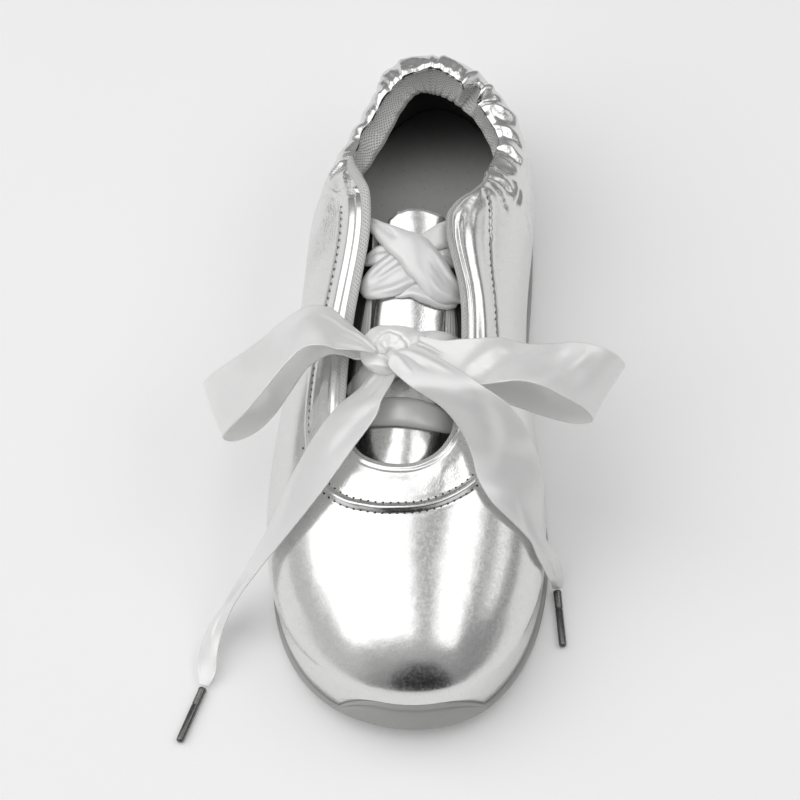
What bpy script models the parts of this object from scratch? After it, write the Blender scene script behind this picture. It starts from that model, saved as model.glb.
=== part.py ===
"""Ballet sneaker, one right shoe, standing empty on its sole.

Blender 4.5: blender --background --python part.py

Metres, +Z up. The toe points along -Y and the heel along +Y, the medial side is +X and the lateral
side is -X. The origin is on the floor, under the middle of the sole's outline. The tables below are
in millimetres: t is the distance back from the toe tip, x the distance from the shoe's long axis
(lateral negative) and z the height over the floor. place() turns them into metres in the frame.
"""

import math
from collections import namedtuple

import bpy
import numpy as np
from mathutils import Vector

MM = 0.001

# ---------------------------------------------------------------- driving sizes, millimetres
GAP = 0.3                # clearance between pieces that touch
WALL = 1.6               # leather and lining of the upper
RIM = 2.8                # width of the sole's rim around the upper
CUP_DEPTH = 5.5          # rim height over the platform that the upper stands on
FOREFOOT_PLATFORM = 12.0
HEEL_PLATFORM = 19.5
TOE_SPRING = 7.5
SPRING_START = 56.0      # the toe lifts off the floor ahead of this
ARCH_FROM, ARCH_TO = 102.0, 176.0
ARCH_LIFT = 2.0
HEEL_BEVEL_FROM = 234.0
HEEL_BEVEL_LIFT = 1.5
BUMPER_LIFT = 2.8        # extra rim height at the toe
BUMPER_HALF = 23.0       # half width of the toe bumper
BUMPER_SOFT = 5.0        # length of the step down at each end of the bumper

FACING_WIDTH = 13.6      # the overlay around the throat
FACING_STEP = 0.7
WELT_WIDTH = 2.4         # piped seam along the overlay's front
WELT_STEP = 1.1
ROLL_WIDTH = 15.0        # gathered roll around the collar
ROLL_STEP = 1.5
ROLL_PAD = 2.4           # extra thickness inside the roll

COLUMNS_PER_STATION = 3

# One row a section around the shoe, from the toe along the lateral side to the heel and back.
# sole_*: outline of the sole. top_*: edge of the throat and collar. low_*: how far and how steeply
# the wall leaves the sole (degrees outward from upright). high_*: the same at the top edge (degrees
# below level).
Station = namedtuple("Station", "sole_t sole_x top_t top_x top_z low_len low_lean high_len high_fall")
STATIONS = [Station(*row) for row in (
    (-1.2, 2.0, 72.0, -4.2, 57.0, 20, 6, 32, 7),         # toe tip
    (3.0, -17.5, 72.4, -8.8, 57.0, 19, 8, 30, 8),
    (15.0, -33.2, 74.0, -14.0, 57.2, 18, 14, 26, 10),
    (36.0, -44.4, 77.6, -18.6, 57.8, 18, 26, 22, 14),
    (62.0, -48.4, 85.0, -22.0, 59.2, 18, 34, 19, 20),    # ball
    (92.0, -47.6, 98.0, -22.8, 61.8, 18, 33, 18, 26),
    (120.0, -44.4, 118.0, -21.8, 65.4, 18, 31, 19, 34),  # waist
    (144.0, -41.4, 138.0, -19.2, 69.6, 19, 31, 20, 40),
    (162.0, -40.0, 156.0, -17.2, 74.6, 20, 32, 22, 44),
    (174.0, -38.8, 170.0, -18.8, 74.0, 20, 32, 22, 48),  # facing corner
    (186.0, -37.0, 185.0, -23.4, 62.0, 17, 28, 14, 34),
    (200.0, -33.6, 199.0, -24.0, 55.6, 15, 10, 6.5, 6),
    (216.0, -27.8, 209.5, -19.8, 56.2, 16, 2, 5.5, 2),
    (232.5, -17.2, 221.6, -13.0, 59.8, 17, 5, 7.5, 0),
    (243.0, 1.2, 227.4, 0.4, 61.6, 17, 12, 9, 0),        # heel
    (233.5, 20.4, 221.8, 13.4, 60.0, 17, 14, 9, 0),
    (217.0, 31.8, 211.8, 21.0, 56.8, 16, 20, 9, 2),
    (200.0, 36.2, 200.0, 25.0, 55.4, 15, 28, 9, 6),
    (186.0, 37.0, 187.0, 23.4, 60.6, 16, 28, 13, 34),
    (174.0, 37.0, 171.6, 19.6, 71.6, 18, 26, 19, 50),    # facing corner, outer
    (160.0, 36.6, 158.6, 11.0, 75.6, 19, 24, 22, 44),    # facing corner, inner
    (138.0, 36.2, 138.0, 13.6, 70.2, 18, 22, 20, 40),
    (114.0, 38.2, 117.0, 16.0, 65.2, 18, 22, 19, 32),    # waist
    (90.0, 42.8, 97.0, 16.0, 61.6, 18, 22, 18, 25),
    (62.0, 45.2, 84.0, 13.6, 59.2, 18, 22, 18, 19),      # ball
    (36.0, 41.6, 77.4, 9.6, 57.9, 18, 18, 21, 13),
    (15.0, 32.0, 74.0, 5.0, 57.3, 18, 12, 26, 9),
    (2.6, 18.4, 72.4, 0.4, 57.0, 19, 8, 30, 8),
)]
LATERAL_CORNER = 9       # row where the lateral facing ends and the collar begins
MEDIAL_CORNER = 19       # the same on the medial side
WELT_REACH = 6           # rows each side of the toe over which the piped seam runs out

# Tongue: distance back, middle, height of its crown, half width.
TongueRow = namedtuple("TongueRow", "t x crown half")
TONGUE = [TongueRow(*row) for row in (
    (66.0, -4.0, 52.4, 8.0),
    (74.0, -4.1, 54.4, 10.5),
    (84.0, -4.0, 57.6, 12.0),
    (100.0, -3.6, 61.6, 12.6),
    (120.0, -3.0, 66.0, 12.6),
    (140.0, -2.8, 70.6, 12.4),
    (150.0, -3.0, 72.8, 12.2),
    (161.0, -3.4, 75.6, 11.8),
)]
TONGUE_THICK = 2.0
TONGUE_DROP = 3.6        # how far the tongue's edges lie under its crown
TONGUE_ARCH = 6.0        # how far its top corners lie forward of its middle

GORE_THICK = 1.0
GORE_FROM, GORE_TO = 88.0, 158.0

# Lace strips over the tongue: solid, layer, both ends (x0, t0 and x1, t1) and the width. Strips of
# one solid lie over each other and are joined.
LaceRow = namedtuple("LaceRow", "solid layer x0 t0 x1 t1 width")
LACES = [LaceRow(*row) for row in (
    ("lace_bar_low", 0, -22.6, 91.0, 15.4, 89.5, 11.5),
    ("lace_cross_low", 0, -22.4, 100.0, 15.8, 118.0, 11.0),
    ("lace_cross_low", 1, -21.8, 115.5, 15.6, 101.0, 11.0),
    ("lace_cross_top", 0, -19.4, 142.5, 12.6, 141.5, 9.0),
    ("lace_cross_top", 1, -19.8, 127.0, 11.4, 151.5, 11.5),
    ("lace_cross_top", 2, -18.2, 152.5, 15.4, 127.5, 12.0),
)]
LACE_THICK = 0.8
LACE_LIFT = 0.4          # air between the tongue and the lowest strip
LACE_FUSE = 0.25         # how deep a strip is sunk into the one under it

# The bow's knot: middle and half sizes.
KNOT_X, KNOT_T, KNOT_Z = -6.4, 107.2, 71.4
KNOT_HALF = (11.4, 9.0, 5.4)

# Ribbon routes: middle of the ribbon, its width, and where its second edge points: turn is the
# bearing of that edge seen from above (0 medial, 90 heel), tilt its rise over level.
RIBBON_THICK = 0.6
RibbonRow = namedtuple("RibbonRow", "x t z width turn tilt")
LOOP_LATERAL = [RibbonRow(*row) for row in (
    (-18.7, 106.8, 72.8, 10, 262, 24),
    (-23.4, 109.0, 77.6, 17, 262, 27),
    (-28.8, 111.0, 79.6, 21, 265, 23),
    (-35.5, 110.9, 79.0, 21, 269, 18),
    (-42.8, 106.8, 75.0, 21, 274, 14),
    (-50.4, 101.0, 69.5, 21, 280, 9),
    (-58.4, 96.8, 62.8, 21, 286, 0),
    (-64.6, 94.6, 56.4, 21, 289, -6),
    (-66.8, 94.6, 50.6, 21, 292, -4),
    (-63.4, 96.0, 46.0, 21, 294, -1),
    (-56.6, 99.6, 45.4, 21, 293, 4),
    (-50.2, 104.6, 48.2, 21, 290, 6),
    (-44.2, 109.8, 53.6, 21, 287, 12),
    (-37.6, 113.4, 60.4, 20, 283, 20),
    (-29.6, 113.6, 66.4, 17, 278, 25),
    (-23.6, 110.6, 69.2, 13, 274, 27),
    (-18.7, 108.0, 69.6, 9, 270, 20),
)]
LOOP_MEDIAL = [RibbonRow(*row) for row in (
    (5.0, 105.2, 73.2, 9, 274, -8),
    (10.4, 102.6, 75.2, 12, 277, -12),
    (15.8, 100.6, 76.6, 16, 276, -4),
    (21.6, 99.6, 78.4, 18, 275, 3),
    (28.4, 98.9, 80.8, 21, 274, 16),
    (36.0, 98.4, 80.8, 21, 272, 24),
    (44.0, 98.0, 79.4, 21, 267, 19),
    (51.6, 98.8, 76.0, 21, 257, 0),
    (58.6, 99.1, 71.0, 21, 247, -14),
    (63.0, 99.2, 65.0, 21, 241, -22),
    (64.2, 99.6, 58.8, 21, 238, -20),
    (60.8, 100.0, 54.2, 21, 239, -3),
    (53.6, 101.4, 52.6, 21, 244, 5),
    (44.4, 102.4, 55.0, 21, 252, 10),
    (35.0, 102.6, 59.6, 21, 261, 14),
    (25.2, 102.0, 64.2, 18, 267, 12),
    (15.4, 104.0, 67.2, 13, 271, 4),
    (9.4, 106.0, 68.4, 10, 272, 0),
    (5.1, 107.4, 69.0, 9, 272, 0),
)]
TAIL_LATERAL = [RibbonRow(*row) for row in (
    (-9.8, 98.1, 69.9, 11, 320, 24),
    (-13.6, 91.4, 69.8, 17, 318, 34),
    (-18.4, 85.4, 67.4, 20, 320, 33),
    (-25.4, 77.0, 62.4, 20, 328, 30),
    (-33.8, 66.6, 53.4, 20, 326, 34),
    (-43.2, 55.6, 41.6, 20, 322, 46),
    (-53.0, 48.6, 25.6, 20, 318, 54),
    (-60.6, 43.0, 12.8, 20, 316, 56),
    (-65.4, 36.0, 7.4, 18, 318, 40),
    (-67.4, 28.4, 5.6, 16, 326, 26),
    (-68.0, 22.2, 3.4, 11, 338, 12),
    (-68.8, 17.0, 1.9, 3.0, 342, 0),
)]
TAIL_MEDIAL = [RibbonRow(*row) for row in (
    (1.4, 100.4, 74.8, 10, 33, 5),
    (7.3, 93.4, 78.2, 14, 14, 7),
    (14.0, 89.0, 77.4, 18, 5, 11),
    (21.1, 85.2, 74.2, 21, 1, 10),
    (25.9, 81.8, 69.0, 22, 359, 6),
    (28.8, 78.6, 64.0, 22, 357, 3),
    (31.0, 75.2, 58.8, 22, 1, -4),
    (32.9, 69.8, 52.8, 22, 8, -14),
    (35.1, 64.8, 47.0, 20, 17, -29),
    (37.5, 61.9, 42.2, 17, 24, -40),
    (40.0, 59.2, 37.7, 13, 31, -48),
    (42.6, 57.0, 33.4, 11, 36, -52),
    (44.8, 55.2, 28.6, 13, 42, -50),
    (46.6, 54.6, 22.0, 16, 50, -54),
    (47.8, 54.8, 13.6, 13, 54, -52),
    (48.4, 56.2, 6.6, 7, 40, -40),
    (48.3, 56.4, 2.0, 3, 0, 0),
)]

# Aglets: rolled metal tips on the floor, from the ribbon's end to the free tip.
AGLET_RADIUS = 1.35
AgletRow = namedtuple("AgletRow", "name x0 t0 x1 t1")
AGLETS = [AgletRow(*row) for row in (
    ("aglet_lateral", -69.0, 16.2, -75.6, -3.6),
    ("aglet_medial", 48.4, 55.5, 50.8, 34.6),
)]

SILVER = (0.78, 0.78, 0.77, 1.0)
SOLE_GREY = (0.36, 0.36, 0.35, 1.0)
LINING_GREY = (0.48, 0.48, 0.47, 1.0)
ELASTIC_GREY = (0.42, 0.42, 0.40, 1.0)
SATIN_WHITE = (0.86, 0.86, 0.84, 1.0)
GUNMETAL = (0.20, 0.20, 0.20, 1.0)


# ---------------------------------------------------------------- curves
def closed_spline(knots, values, period):
    """Smooth closed curve through values at knots, as a function that takes an array."""
    knots = np.asarray(knots, float)
    values = np.asarray(values, float)
    count = len(knots)
    step = np.diff(np.append(knots, knots[0] + period))
    matrix = np.zeros((count, count))
    right = np.zeros(values.shape)
    for i in range(count):
        before, after = (i - 1) % count, (i + 1) % count
        matrix[i, before] += step[before]
        matrix[i, i] += 2 * (step[before] + step[i])
        matrix[i, after] += step[i]
        rise_after = (values[after] - values[i]) / step[i]
        rise_before = (values[i] - values[before]) / step[before]
        right[i] = 6 * (rise_after - rise_before)
    bend = np.linalg.solve(matrix, right)

    def curve(where):
        where = (np.asarray(where, float) - knots[0]) % period + knots[0]
        low = np.searchsorted(knots, where, side="right") - 1
        high = (low + 1) % count
        span = step[low]
        b = (where - knots[low]) / span
        a = 1 - b
        if values.ndim > 1:
            a, b, span = a[:, None], b[:, None], span[:, None]
        return (a * values[low] + b * values[high]
                + ((a ** 3 - a) * bend[low] + (b ** 3 - b) * bend[high]) * span ** 2 / 6)

    return curve


def smoothstep(low, high, value):
    """0 under low, 1 over high, and a soft rise between them."""
    ratio = np.clip((np.asarray(value, float) - low) / (high - low), 0.0, 1.0)
    return ratio * ratio * (3 - 2 * ratio)


def open_curve(rows, name, where):
    """Smooth value of a table's named column at the distances in where."""
    t = np.array([row.t for row in rows])
    value = np.array([getattr(row, name) for row in rows])
    slope = np.gradient(value, t)
    where = np.clip(where, t[0], t[-1])
    low = np.clip(np.searchsorted(t, where, side="right") - 1, 0, len(t) - 2)
    span = t[low + 1] - t[low]
    u = (where - t[low]) / span
    return ((2 * u ** 3 - 3 * u ** 2 + 1) * value[low] + (u ** 3 - 2 * u ** 2 + u) * span * slope[low]
            + (3 * u ** 2 - 2 * u ** 3) * value[low + 1] + (u ** 3 - u ** 2) * span * slope[low + 1])


# ---------------------------------------------------------------- the last: outline and heights
SOLE_POINTS = np.array([(s.sole_x, s.sole_t) for s in STATIONS])
SOLE_STEPS = np.linalg.norm(np.roll(SOLE_POINTS, -1, axis=0) - SOLE_POINTS, axis=1)
KNOTS = np.concatenate([[0.0], np.cumsum(SOLE_STEPS)[:-1]])
GIRTH = float(SOLE_STEPS.sum())
OUTLINE = closed_spline(KNOTS, SOLE_POINTS, GIRTH)


def columns(per_station):
    """Places around the shoe: the same number between each two stations."""
    ends = np.append(KNOTS, GIRTH)
    shares = np.arange(per_station) / per_station
    return np.concatenate([a + (b - a) * shares for a, b in zip(ends[:-1], ends[1:])])


def outline_normal(where):
    """Level direction out of the outline."""
    ahead = OUTLINE(where + 0.05)
    behind = OUTLINE(where - 0.05)
    run = ahead - behind
    normal = np.stack([-run[:, 1], run[:, 0]], axis=1)
    return normal / np.linalg.norm(normal, axis=1)[:, None]


def inset(where, distance):
    """Outline drawn in by a distance, as x and t."""
    return OUTLINE(where) - np.asarray(distance)[..., None] * outline_normal(where)


def ground(t):
    """Underside of the sole: toe spring, flat forefoot, low arch, flat heel."""
    spring = TOE_SPRING * np.clip((SPRING_START - t) / SPRING_START, 0, None) ** 2
    arch = ARCH_LIFT * np.sin(math.pi * np.clip((t - ARCH_FROM) / (ARCH_TO - ARCH_FROM), 0, 1)) ** 2
    bevel = HEEL_BEVEL_LIFT * np.clip((t - HEEL_BEVEL_FROM) / 10.0, 0, None) ** 2
    return spring + arch + bevel


def platform(t):
    """Floor of the cup."""
    rise = HEEL_PLATFORM - FOREFOOT_PLATFORM
    spring = 0.8 * TOE_SPRING * np.clip((SPRING_START - t) / SPRING_START, 0, None) ** 2
    return FOREFOOT_PLATFORM + spring + rise * smoothstep(88.0, 190.0, t)


def rim_height(x, t):
    """Top of the rim, with the toe bumper."""
    front = 1 - smoothstep(BUMPER_HALF - BUMPER_SOFT / 2, BUMPER_HALF + BUMPER_SOFT / 2, np.abs(x - 1.5))
    bumper = BUMPER_LIFT * front * (1 - smoothstep(20.0, 30.0, t))
    return platform(t) + CUP_DEPTH + bumper


SOLE_BOX_X = (OUTLINE(np.arange(0, GIRTH, 0.5))[:, 0].min(), OUTLINE(np.arange(0, GIRTH, 0.5))[:, 0].max())
SOLE_BOX_T = (OUTLINE(np.arange(0, GIRTH, 0.5))[:, 1].min(), OUTLINE(np.arange(0, GIRTH, 0.5))[:, 1].max())
MIDDLE = (sum(SOLE_BOX_X) / 2, sum(SOLE_BOX_T) / 2)


def place(points):
    """Millimetre rows of x, t, z as metres in the shoe's frame."""
    points = np.asarray(points, float)
    return (points - np.array([MIDDLE[0], MIDDLE[1], 0.0])) * MM


# ---------------------------------------------------------------- the upper's wall
def wall_handles():
    """The four control points of the wall at every station, as x, t, z."""
    where = KNOTS
    foot = inset(where, np.full(len(where), RIM + GAP))
    foot_z = rim_height(foot[:, 0], foot[:, 1]) + GAP
    out = outline_normal(where)
    low_len = np.array([s.low_len for s in STATIONS], float)
    low_lean = np.radians([s.low_lean for s in STATIONS])
    high_len = np.array([s.high_len for s in STATIONS], float)
    high_fall = np.radians([s.high_fall for s in STATIONS])
    top = np.array([(s.top_x, s.top_t, s.top_z) for s in STATIONS])
    start = np.column_stack([foot, foot_z])
    low = start.copy()
    low[:, :2] += out * (low_len * np.sin(low_lean))[:, None]
    low[:, 2] += low_len * np.cos(low_lean)
    away = low[:, :2] - top[:, :2]
    away /= np.linalg.norm(away, axis=1)[:, None]
    high = top.copy()
    high[:, :2] += away * (high_len * np.cos(high_fall))[:, None]
    high[:, 2] -= high_len * np.sin(high_fall)
    return low, high, top


LOW, HIGH, TOP = (closed_spline(KNOTS, control, GIRTH) for control in wall_handles())


def wall_points(where, depths, shares):
    """Base surface of the wall. depths are distances down from the top edge, and shares are parts of
    what is left of the wall under the last depth. Returns rows of points from the top edge down."""
    foot = inset(where, np.full(len(where), RIM + GAP))
    foot_z = rim_height(foot[:, 0], foot[:, 1]) + GAP
    controls = [TOP(where), HIGH(where), LOW(where), np.column_stack([foot, foot_z])]
    u = np.linspace(0, 1, 61)[:, None, None]
    a, b, c, d = (control[None] for control in controls)
    fine = (1 - u) ** 3 * a + 3 * u * (1 - u) ** 2 * b + 3 * u ** 2 * (1 - u) * c + u ** 3 * d
    run = np.concatenate([np.zeros((1, len(where))),
                          np.cumsum(np.linalg.norm(np.diff(fine, axis=0), axis=2), axis=0)])
    rows = np.empty((len(depths) + len(shares), len(where), 3))
    for k in range(len(where)):
        left = run[-1, k] - depths[-1]
        goals = np.concatenate([depths, depths[-1] + left * np.asarray(shares)])
        for axis in range(3):
            rows[:, k, axis] = np.interp(goals, run[:, k], fine[:, k, axis])
    return rows


def surface_normals(rows):
    """Outward normal at each point of a grid of rows that close around the shoe."""
    down = np.gradient(rows, axis=0)
    around = np.roll(rows, -1, axis=1) - np.roll(rows, 1, axis=1)
    normal = np.cross(around, down)
    return normal / np.linalg.norm(normal, axis=2)[:, :, None]


def top_run():
    """Length along the top edge from the toe, at each station and for any place."""
    fine = np.linspace(0, GIRTH, 2001)
    line = TOP(fine[:-1])
    steps = np.linalg.norm(np.roll(line, -1, axis=0) - line, axis=1)
    total = np.concatenate([[0.0], np.cumsum(steps)])
    return lambda where: np.interp(np.asarray(where) % GIRTH, fine, total)


TOP_RUN = top_run()
TOP_GIRTH = float(TOP_RUN(GIRTH - 1e-6))


def throat_share(where):
    """1 along the throat and 0 around the collar, with a soft change at the facing corners."""
    run = TOP_RUN(where)
    lateral = TOP_RUN(KNOTS[LATERAL_CORNER])
    medial = TOP_RUN(KNOTS[MEDIAL_CORNER])
    return 1 - smoothstep(lateral - 2, lateral + 2, run) * (1 - smoothstep(medial - 2, medial + 2, run))


def welt_share(where):
    """1 across the vamp and 0 where the piped seam has run out along the sides."""
    run = TOP_RUN(where)
    end_lateral = TOP_RUN(KNOTS[WELT_REACH])
    end_medial = TOP_RUN(KNOTS[-WELT_REACH])
    return (1 - smoothstep(end_lateral - 30, end_lateral, run)) + smoothstep(end_medial, end_medial + 30, run)


def raised(where, depth):
    """How far the overlay, the piped seam and the collar roll stand over the base surface."""
    throat = throat_share(where)
    facing = FACING_STEP * (1 - smoothstep(FACING_WIDTH - 0.3, FACING_WIDTH + 0.3, depth))
    seam = np.clip((depth - FACING_WIDTH) / WELT_WIDTH, 0, 1)
    welt = WELT_STEP * np.sin(math.pi * seam) * welt_share(where)
    roll = ROLL_STEP * np.sin(math.pi * np.clip(depth / ROLL_WIDTH, 0, 1))
    return throat * np.maximum(facing, welt) + (1 - throat) * roll


def lining(where, depth):
    """Thickness of the wall under the base surface."""
    roll = np.sin(math.pi * np.clip(depth / ROLL_WIDTH, 0, 1))
    return WALL + ROLL_PAD * (1 - throat_share(where)) * roll


# ---------------------------------------------------------------- mesh tools
def collection(name):
    """New collection in the scene."""
    made = bpy.data.collections.new(name)
    bpy.context.scene.collection.children.link(made)
    return made


def material(name, colour, roughness, metallic=0.0):
    """Principled material."""
    made = bpy.data.materials.new(name)
    made.use_nodes = True
    shader = made.node_tree.nodes["Principled BSDF"]
    shader.inputs["Base Color"].default_value = colour
    shader.inputs["Roughness"].default_value = roughness
    shader.inputs["Metallic"].default_value = metallic
    return made


def solid(name, points, faces, finish):
    """Object from points in metres and faces, in the shoe's collection."""
    mesh = bpy.data.meshes.new(name)
    mesh.from_pydata([tuple(map(float, p)) for p in points], [], faces)
    mesh.materials.append(finish)
    mesh.polygons.foreach_set("use_smooth", [True] * len(mesh.polygons))
    made = bpy.data.objects.new(name, mesh)
    SHOE.objects.link(made)
    return made


def between_loops(first, second, count):
    """Faces that join two closed loops of count points, given the loops' first indices."""
    return [(first + k, first + (k + 1) % count, second + (k + 1) % count, second + k)
            for k in range(count)]


def cap(start, count, flip):
    """Faces across a closed loop: rungs join each point to its partner on the other side."""
    half = count // 2
    faces = [(start, start + 1, start + count - 1)]
    for k in range(1, half - 1):
        faces.append((start + k, start + k + 1, start + count - k - 1, start + count - k))
    faces.append((start + half - 1, start + half, start + half + 1))
    return [face[::-1] for face in faces] if flip else faces


def sheet(name, rows, thick, finish):
    """Open surface of rows of x, t, z in millimetres, made solid below its top face."""
    rows = place(rows)
    height, width = rows.shape[:2]
    faces = [(r * width + c, r * width + c + 1, (r + 1) * width + c + 1, (r + 1) * width + c)
             for r in range(height - 1) for c in range(width - 1)]
    made = solid(name, rows.reshape(-1, 3), faces, finish)
    shell = made.modifiers.new("Thickness", "SOLIDIFY")
    shell.thickness = thick * MM
    shell.offset = -1.0
    shell.use_even_offset = True
    return made


# ---------------------------------------------------------------- pieces
def make_outsole(finish):
    """Cup sole: flats at forefoot and heel, arch, toe spring, stepped side, rim and platform."""
    where = columns(COLUMNS_PER_STATION)
    edge = OUTLINE(where)
    t = edge[:, 1]
    low = ground(t)
    top = rim_height(edge[:, 0], t)
    side = top - low
    # distance in from the outline and height of each loop, from the tread to the platform
    loops = (
        (3.2, ground(inset(where, np.full(len(where), 3.2))[:, 1])),
        (1.0, low + 1.0),
        (0.1, low + 0.28 * side),
        (0.0, low + 0.60 * side),
        (0.3, top - 4.0),
        (1.1, top - 3.4),
        (0.7, top - 2.4),
        (0.7, top - 0.9),
        (1.3, top),
        (RIM, top),
        (RIM, platform(t)),
    )
    points = np.concatenate([np.column_stack([inset(where, np.full(len(where), inward)), height])
                             for inward, height in loops])
    count = len(where)
    faces = cap(0, count, False)
    for k in range(len(loops) - 1):
        faces += [face[::-1] for face in between_loops(k * count, (k + 1) * count, count)]
    faces += cap((len(loops) - 1) * count, count, True)
    return solid("outsole", place(points), faces, finish)


def make_insole(finish):
    """Footbed on the platform, inside the upper."""
    where = columns(COLUMNS_PER_STATION)
    reach = RIM + GAP + WALL + GAP
    loops = ((reach, 0.3, 0.0), (reach, 2.4, 0.0), (reach + 1.6, 3.2, 0.0))
    points = []
    for inward, height, _ in loops:
        line = inset(where, np.full(len(where), inward))
        points.append(np.column_stack([line, platform(OUTLINE(where)[:, 1]) + height]))
    count = len(where)
    faces = cap(0, count, False)
    for k in range(len(loops) - 1):
        faces += [face[::-1] for face in between_loops(k * count, (k + 1) * count, count)]
    faces += cap((len(loops) - 1) * count, count, True)
    return solid("insole", place(np.concatenate(points)), faces, finish)


OUTER_DEPTHS = (0.0, 2.2, 5.5, 9.5, 13.3, 13.9, 14.8, 16.0)
OUTER_SHARES = (0.16, 0.34, 0.52, 0.70, 0.86, 1.0)
INNER_DEPTHS = (0.0, 3.5, 8.0, 13.0)
INNER_SHARES = (0.22, 0.48, 0.74, 1.0)


def make_upper(finish):
    """The hollow leather form: outer skin with its overlays, top edge, lining and lasting edge."""
    where = columns(COLUMNS_PER_STATION)
    foot = inset(where, np.full(len(where), RIM + GAP))
    inner_foot = inset(where, np.full(len(where), RIM + GAP + WALL))
    foot_z = platform(OUTLINE(where)[:, 1]) + GAP

    outer = wall_points(where, OUTER_DEPTHS, OUTER_SHARES)
    outer_out = surface_normals(outer)
    depths = list(OUTER_DEPTHS) + [OUTER_DEPTHS[-1] + 5] * len(OUTER_SHARES)
    skin = np.array([row + out * raised(where, depth)[:, None]
                     for row, out, depth in zip(outer, outer_out, depths)])
    skin[-1] = outer[-1]

    inner = wall_points(where, INNER_DEPTHS, INNER_SHARES)
    inner_out = surface_normals(inner)
    depths = list(INNER_DEPTHS) + [INNER_DEPTHS[-1] + 5] * len(INNER_SHARES)
    inside = np.array([row - out * lining(where, depth)[:, None]
                       for row, out, depth in zip(inner, inner_out, depths)])
    inside[-1] = np.column_stack([inner_foot, inner[-1][:, 2]])

    edge = (skin[0] + inside[0]) / 2 + (outer[0] - outer[1]) * 0.3
    skirt = np.column_stack([foot, foot_z])
    inner_skirt = np.column_stack([inner_foot, foot_z])
    loops = [skirt] + list(skin[::-1]) + [edge] + list(inside) + [inner_skirt]
    count = len(where)
    faces = []
    for k in range(len(loops)):
        faces += [face[::-1] for face in between_loops(k * count, ((k + 1) % len(loops)) * count, count)]
    return solid("upper", place(np.concatenate(loops)), faces, finish)


def tongue_top(t, side):
    """Height of the tongue's upper face; side runs from -1 to 1 across it."""
    return open_curve(TONGUE, "crown", t) - TONGUE_DROP * side ** 2


def make_tongue(finish):
    """Arched tongue, from under the vamp to its rounded top."""
    sides = np.linspace(-1, 1, 9)
    shares = np.linspace(0, 1, 17)
    first, last = TONGUE[0].t, TONGUE[-1].t
    rows = np.empty((len(shares), len(sides), 3))
    for c, side in enumerate(sides):
        t = first + shares * (last - TONGUE_ARCH * side ** 2 - first)
        x = open_curve(TONGUE, "x", t) + side * open_curve(TONGUE, "half", t)
        rows[:, c] = np.column_stack([x, t, tongue_top(t, side)])
    return sheet("tongue", rows, TONGUE_THICK, finish)


def make_gore(name, sign, finish):
    """Elastic strip from the lining under a facing to the tongue's side; sign -1 is the lateral one."""
    where = columns(COLUMNS_PER_STATION)
    depths = (1.0, 3.0, 5.5, 8.0, 10.0)
    drops = (2.6, 1.7, GAP)
    ring = wall_points(where, depths, (1.0,))
    out = surface_normals(ring)
    t = ring[0, :, 1]
    side = np.nonzero((sign * (ring[0, :, 0] - TONGUE[3].x) > 0) & (t > GORE_FROM) & (t < GORE_TO))[0]
    side = side[np.argsort(t[side])]
    t = t[side]
    edge_x = open_curve(TONGUE, "x", t) + sign * (open_curve(TONGUE, "half", t) + GAP + 0.3)
    tongue_edge = np.column_stack([edge_x, t, tongue_top(t, 1.0) - 0.6])
    under = [(ring[k] - out[k] * (WALL + drops[k - 1]))[side] for k in (1, 2, 3)]
    rows = [tongue_edge, (tongue_edge + under[0]) / 2] + under
    grid = np.array(rows if sign > 0 else rows[::-1])
    return sheet(name, grid.transpose(1, 0, 2), GORE_THICK, finish)


def under_facings(x, t):
    """Highest that a lace may lie where it runs under the facings."""
    where = columns(COLUMNS_PER_STATION)
    edge = TOP(where)
    away = HIGH(where) - edge
    fall = -away[:, 2] / np.linalg.norm(away[:, :2], axis=1)
    limit = np.full(np.shape(x), 1000.0)
    for sign in (-1, 1):
        side = np.nonzero((sign * (edge[:, 0] - TONGUE[3].x) > 0) & (edge[:, 1] < GORE_TO + 8))[0]
        side = side[np.argsort(edge[side, 1])]
        line = edge[side]
        beyond = sign * (x - np.interp(t, line[:, 1], line[:, 0])) + 1.2
        lowered = np.interp(t, line[:, 1], line[:, 2]) - WALL - GAP - np.interp(t, line[:, 1], fall[side]) * beyond
        limit = np.minimum(limit, np.where(beyond > 0, lowered, 1000.0))
    return limit


def lace_strip(name, row, finish):
    """One flat strip over the tongue, narrow at both ends."""
    start, end = np.array([row.x0, row.t0]), np.array([row.x1, row.t1])
    run = (end - start) / np.linalg.norm(end - start)
    across = np.array([-run[1], run[0]])
    rows = []
    for share in np.linspace(0, 1, 13):
        width = row.width * (0.5 + 0.5 * math.sin(math.pi * share) ** 0.6)
        line = np.array([start + (end - start) * share + across * width * k for k in (0.5, 0.0, -0.5)])
        x, t = line[:, 0], line[:, 1]
        side = np.clip((x - open_curve(TONGUE, "x", t)) / open_curve(TONGUE, "half", t), -1, 1)
        lift = LACE_LIFT + LACE_THICK + row.layer * (LACE_THICK - LACE_FUSE)
        rows.append(np.column_stack([line, np.minimum(tongue_top(t, side) + lift, under_facings(x, t))]))
    return sheet(name, np.array(rows), LACE_THICK, finish)


def make_laces(finish):
    """The bar and the crossings; the strips of each are joined by a Boolean union."""
    for name in dict.fromkeys(row.solid for row in LACES):
        strips = [row for row in LACES if row.solid == name]
        main = lace_strip(name, strips[0], finish)
        for row in strips[1:]:
            over = lace_strip("%s_over_%d" % (name, row.layer), row, finish)
            SHOE.objects.unlink(over)
            HELPERS.objects.link(over)
            over.hide_render = True
            over.display_type = "WIRE"
            join = main.modifiers.new("Crossing", "BOOLEAN")
            join.operation = "UNION"
            join.solver = "EXACT"
            join.object = over


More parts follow.
